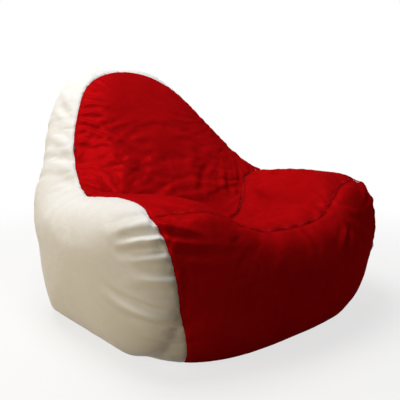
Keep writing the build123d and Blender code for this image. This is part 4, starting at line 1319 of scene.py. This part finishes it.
def make_loop():
    """The webbing loop, slightly dished, round the outline of its two ends."""
    low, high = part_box("carry_loop")
    end_radius = (high.y - low.y) / 2 - WEBBING / 2
    root_radius = LOOP_ROOT_RADIUS - WEBBING / 2
    y = (low.y + high.y) / 2
    root_z = high.z - LOOP_ROOT_RADIUS
    end_z = low.z + (high.y - low.y) / 2
    lean = np.arcsin((end_radius - root_radius) / (root_z - end_z))
    line = []
    for centre, radius, start, stop in ((root_z, root_radius, -lean, pi + lean),
                                        (end_z, end_radius, pi + lean, 2 * pi - lean)):
        for angle in np.linspace(start, stop, LOOP_ARC_POINTS):
            line.append((y + radius * cos(angle), centre + radius * sin(angle)))
    line = curve_through([(a, b, 0) for a, b in line + line[:1]], LOOP_STEP)[:-1, :2]
    across = np.linspace(-1, 1, LOOP_ACROSS)
    corners, faces = [], []
    half = (high.x - low.x) / 2 - LOOP_EDGE_ROOM
    for place_y, place_z in line:
        dish = LOOP_DISH * (1 if place_y > y else -1)
        for step in across:
            dished = dish * (1 - step ** 2) * (root_z - place_z) / LOOP_LENGTH
            corners.append((step * half, place_y - dished, place_z))
    count, wide = len(line), len(across)
    for i in range(count):
        for j in range(wide - 1):
            a, b = i * wide + j, (i + 1) % count * wide + j
            faces.append((a, b, b + 1, a + 1))
    mesh = bpy.data.meshes.new("loop_webbing")
    mesh.from_pydata(corners, [], faces)
    piece = new_piece("loop_webbing", mesh)
    thick = piece.modifiers.new("thickness", "SOLIDIFY")
    thick.thickness = WEBBING
    thick.offset = 0
    edge = piece.modifiers.new("edge", "BEVEL")
    edge.width = 0.0003
    edge.segments = 2
    edge.limit_method = "ANGLE"
    apply_modifiers(piece)
    select_only(piece)
    bpy.ops.object.mode_set(mode="EDIT")
    bpy.ops.mesh.select_all(action="SELECT")
    bpy.ops.mesh.normals_make_consistent(inside=False)
    bpy.ops.object.mode_set(mode="OBJECT")
    bpy.ops.object.shade_smooth_by_angle(angle=0.6)
    finish_soft(piece, "loop", "webbing", "carry_loop")


def make_tab():
    """The bare tab: a strip folded once, its fold outwards, sewn into the seam."""
    piece = new_piece("bare_tab", nodes["seam_tab"].data.copy())
    merge_corners(piece)
    bpy.ops.object.mode_set(mode="EDIT")
    bpy.ops.mesh.dissolve_limited()
    bpy.ops.object.mode_set(mode="OBJECT")
    edge = piece.modifiers.new("edge", "BEVEL")
    edge.width = 0.0004
    edge.segments = 3
    divide = piece.modifiers.new("divide", "SUBSURF")
    divide.subdivision_type = "SIMPLE"
    divide.levels = divide.render_levels = 4
    apply_modifiers(piece)
    co = coordinates(piece.data)
    middle = co.mean(0)
    own_axes = np.linalg.svd(co - middle, full_matrices=False)[2]
    local = (co - middle) @ own_axes.T
    local[:, 2] += TAB_WAVE * np.sin(local[:, 0] * TAB_WAVES + 0.6) * (0.5 + local[:, 1] / TAB_HALF)
    set_coordinates(piece.data, middle + local @ own_axes)
    piece.data.shade_smooth()
    finish_soft(piece, "bag", "tab_cloth", "seam_tab")


def finish_zips():
    """The zips' own pieces keep their shape and get their finishes."""
    for name, item in nodes.items():
        if "_zip_" not in name:
            continue
        word = "zip_tape" if "_tape_" in name else "zip_teeth" if "_teeth_" in name else "zip_metal"
        for slot in item.material_slots:
            slot.material = finishes[word]


# ---------------------------------------------------------------- main
bpy.context.scene.view_settings.view_transform = "Standard"
make_camera()
make_stage()
make_lights()
trees = panel_trees()
skin = filled_bag("cover_skin", FACE_SIZE)
set_coordinates(skin.data, coordinates(skin.data) + normals(skin.data) * BEADS_BELOW_COVER)
ease_shoulders(skin)
cut_along_seams(skin, trees)
straighten_seams(skin)
puff(skin)
divide = skin.modifiers.new("divide", "SUBSURF")
divide.levels = divide.render_levels = 1
apply_modifiers(skin)
seams = dress(skin)
pieces = [panel_piece(skin, number) for number in range(len(PANELS))]
make_liner(skin)
make_beads(skin)
bpy.data.objects.remove(skin)
for seam in seams[SEAT, FRONT]:
    stitches_along("front_seam_stitches", seam, pieces[SEAT], SEAT_STITCHES_FROM_SEAM,
                   STITCH_PITCH, STITCH, "red_thread")
# the crease stitches take the darker copy of the red thread: painted shade of the crease
for seam in seams[SEAT, BACKREST]:
    stitches_along("crease_stitches", seam, pieces[BACKREST], CREASE_STITCHES_FROM_SEAM,
                   2 * STITCH_PITCH, 1.6 * STITCH, "shaded_red_thread", 2.4 * THREAD)
zip_stitches(pieces)
make_loop()
make_tab()
finish_zips()
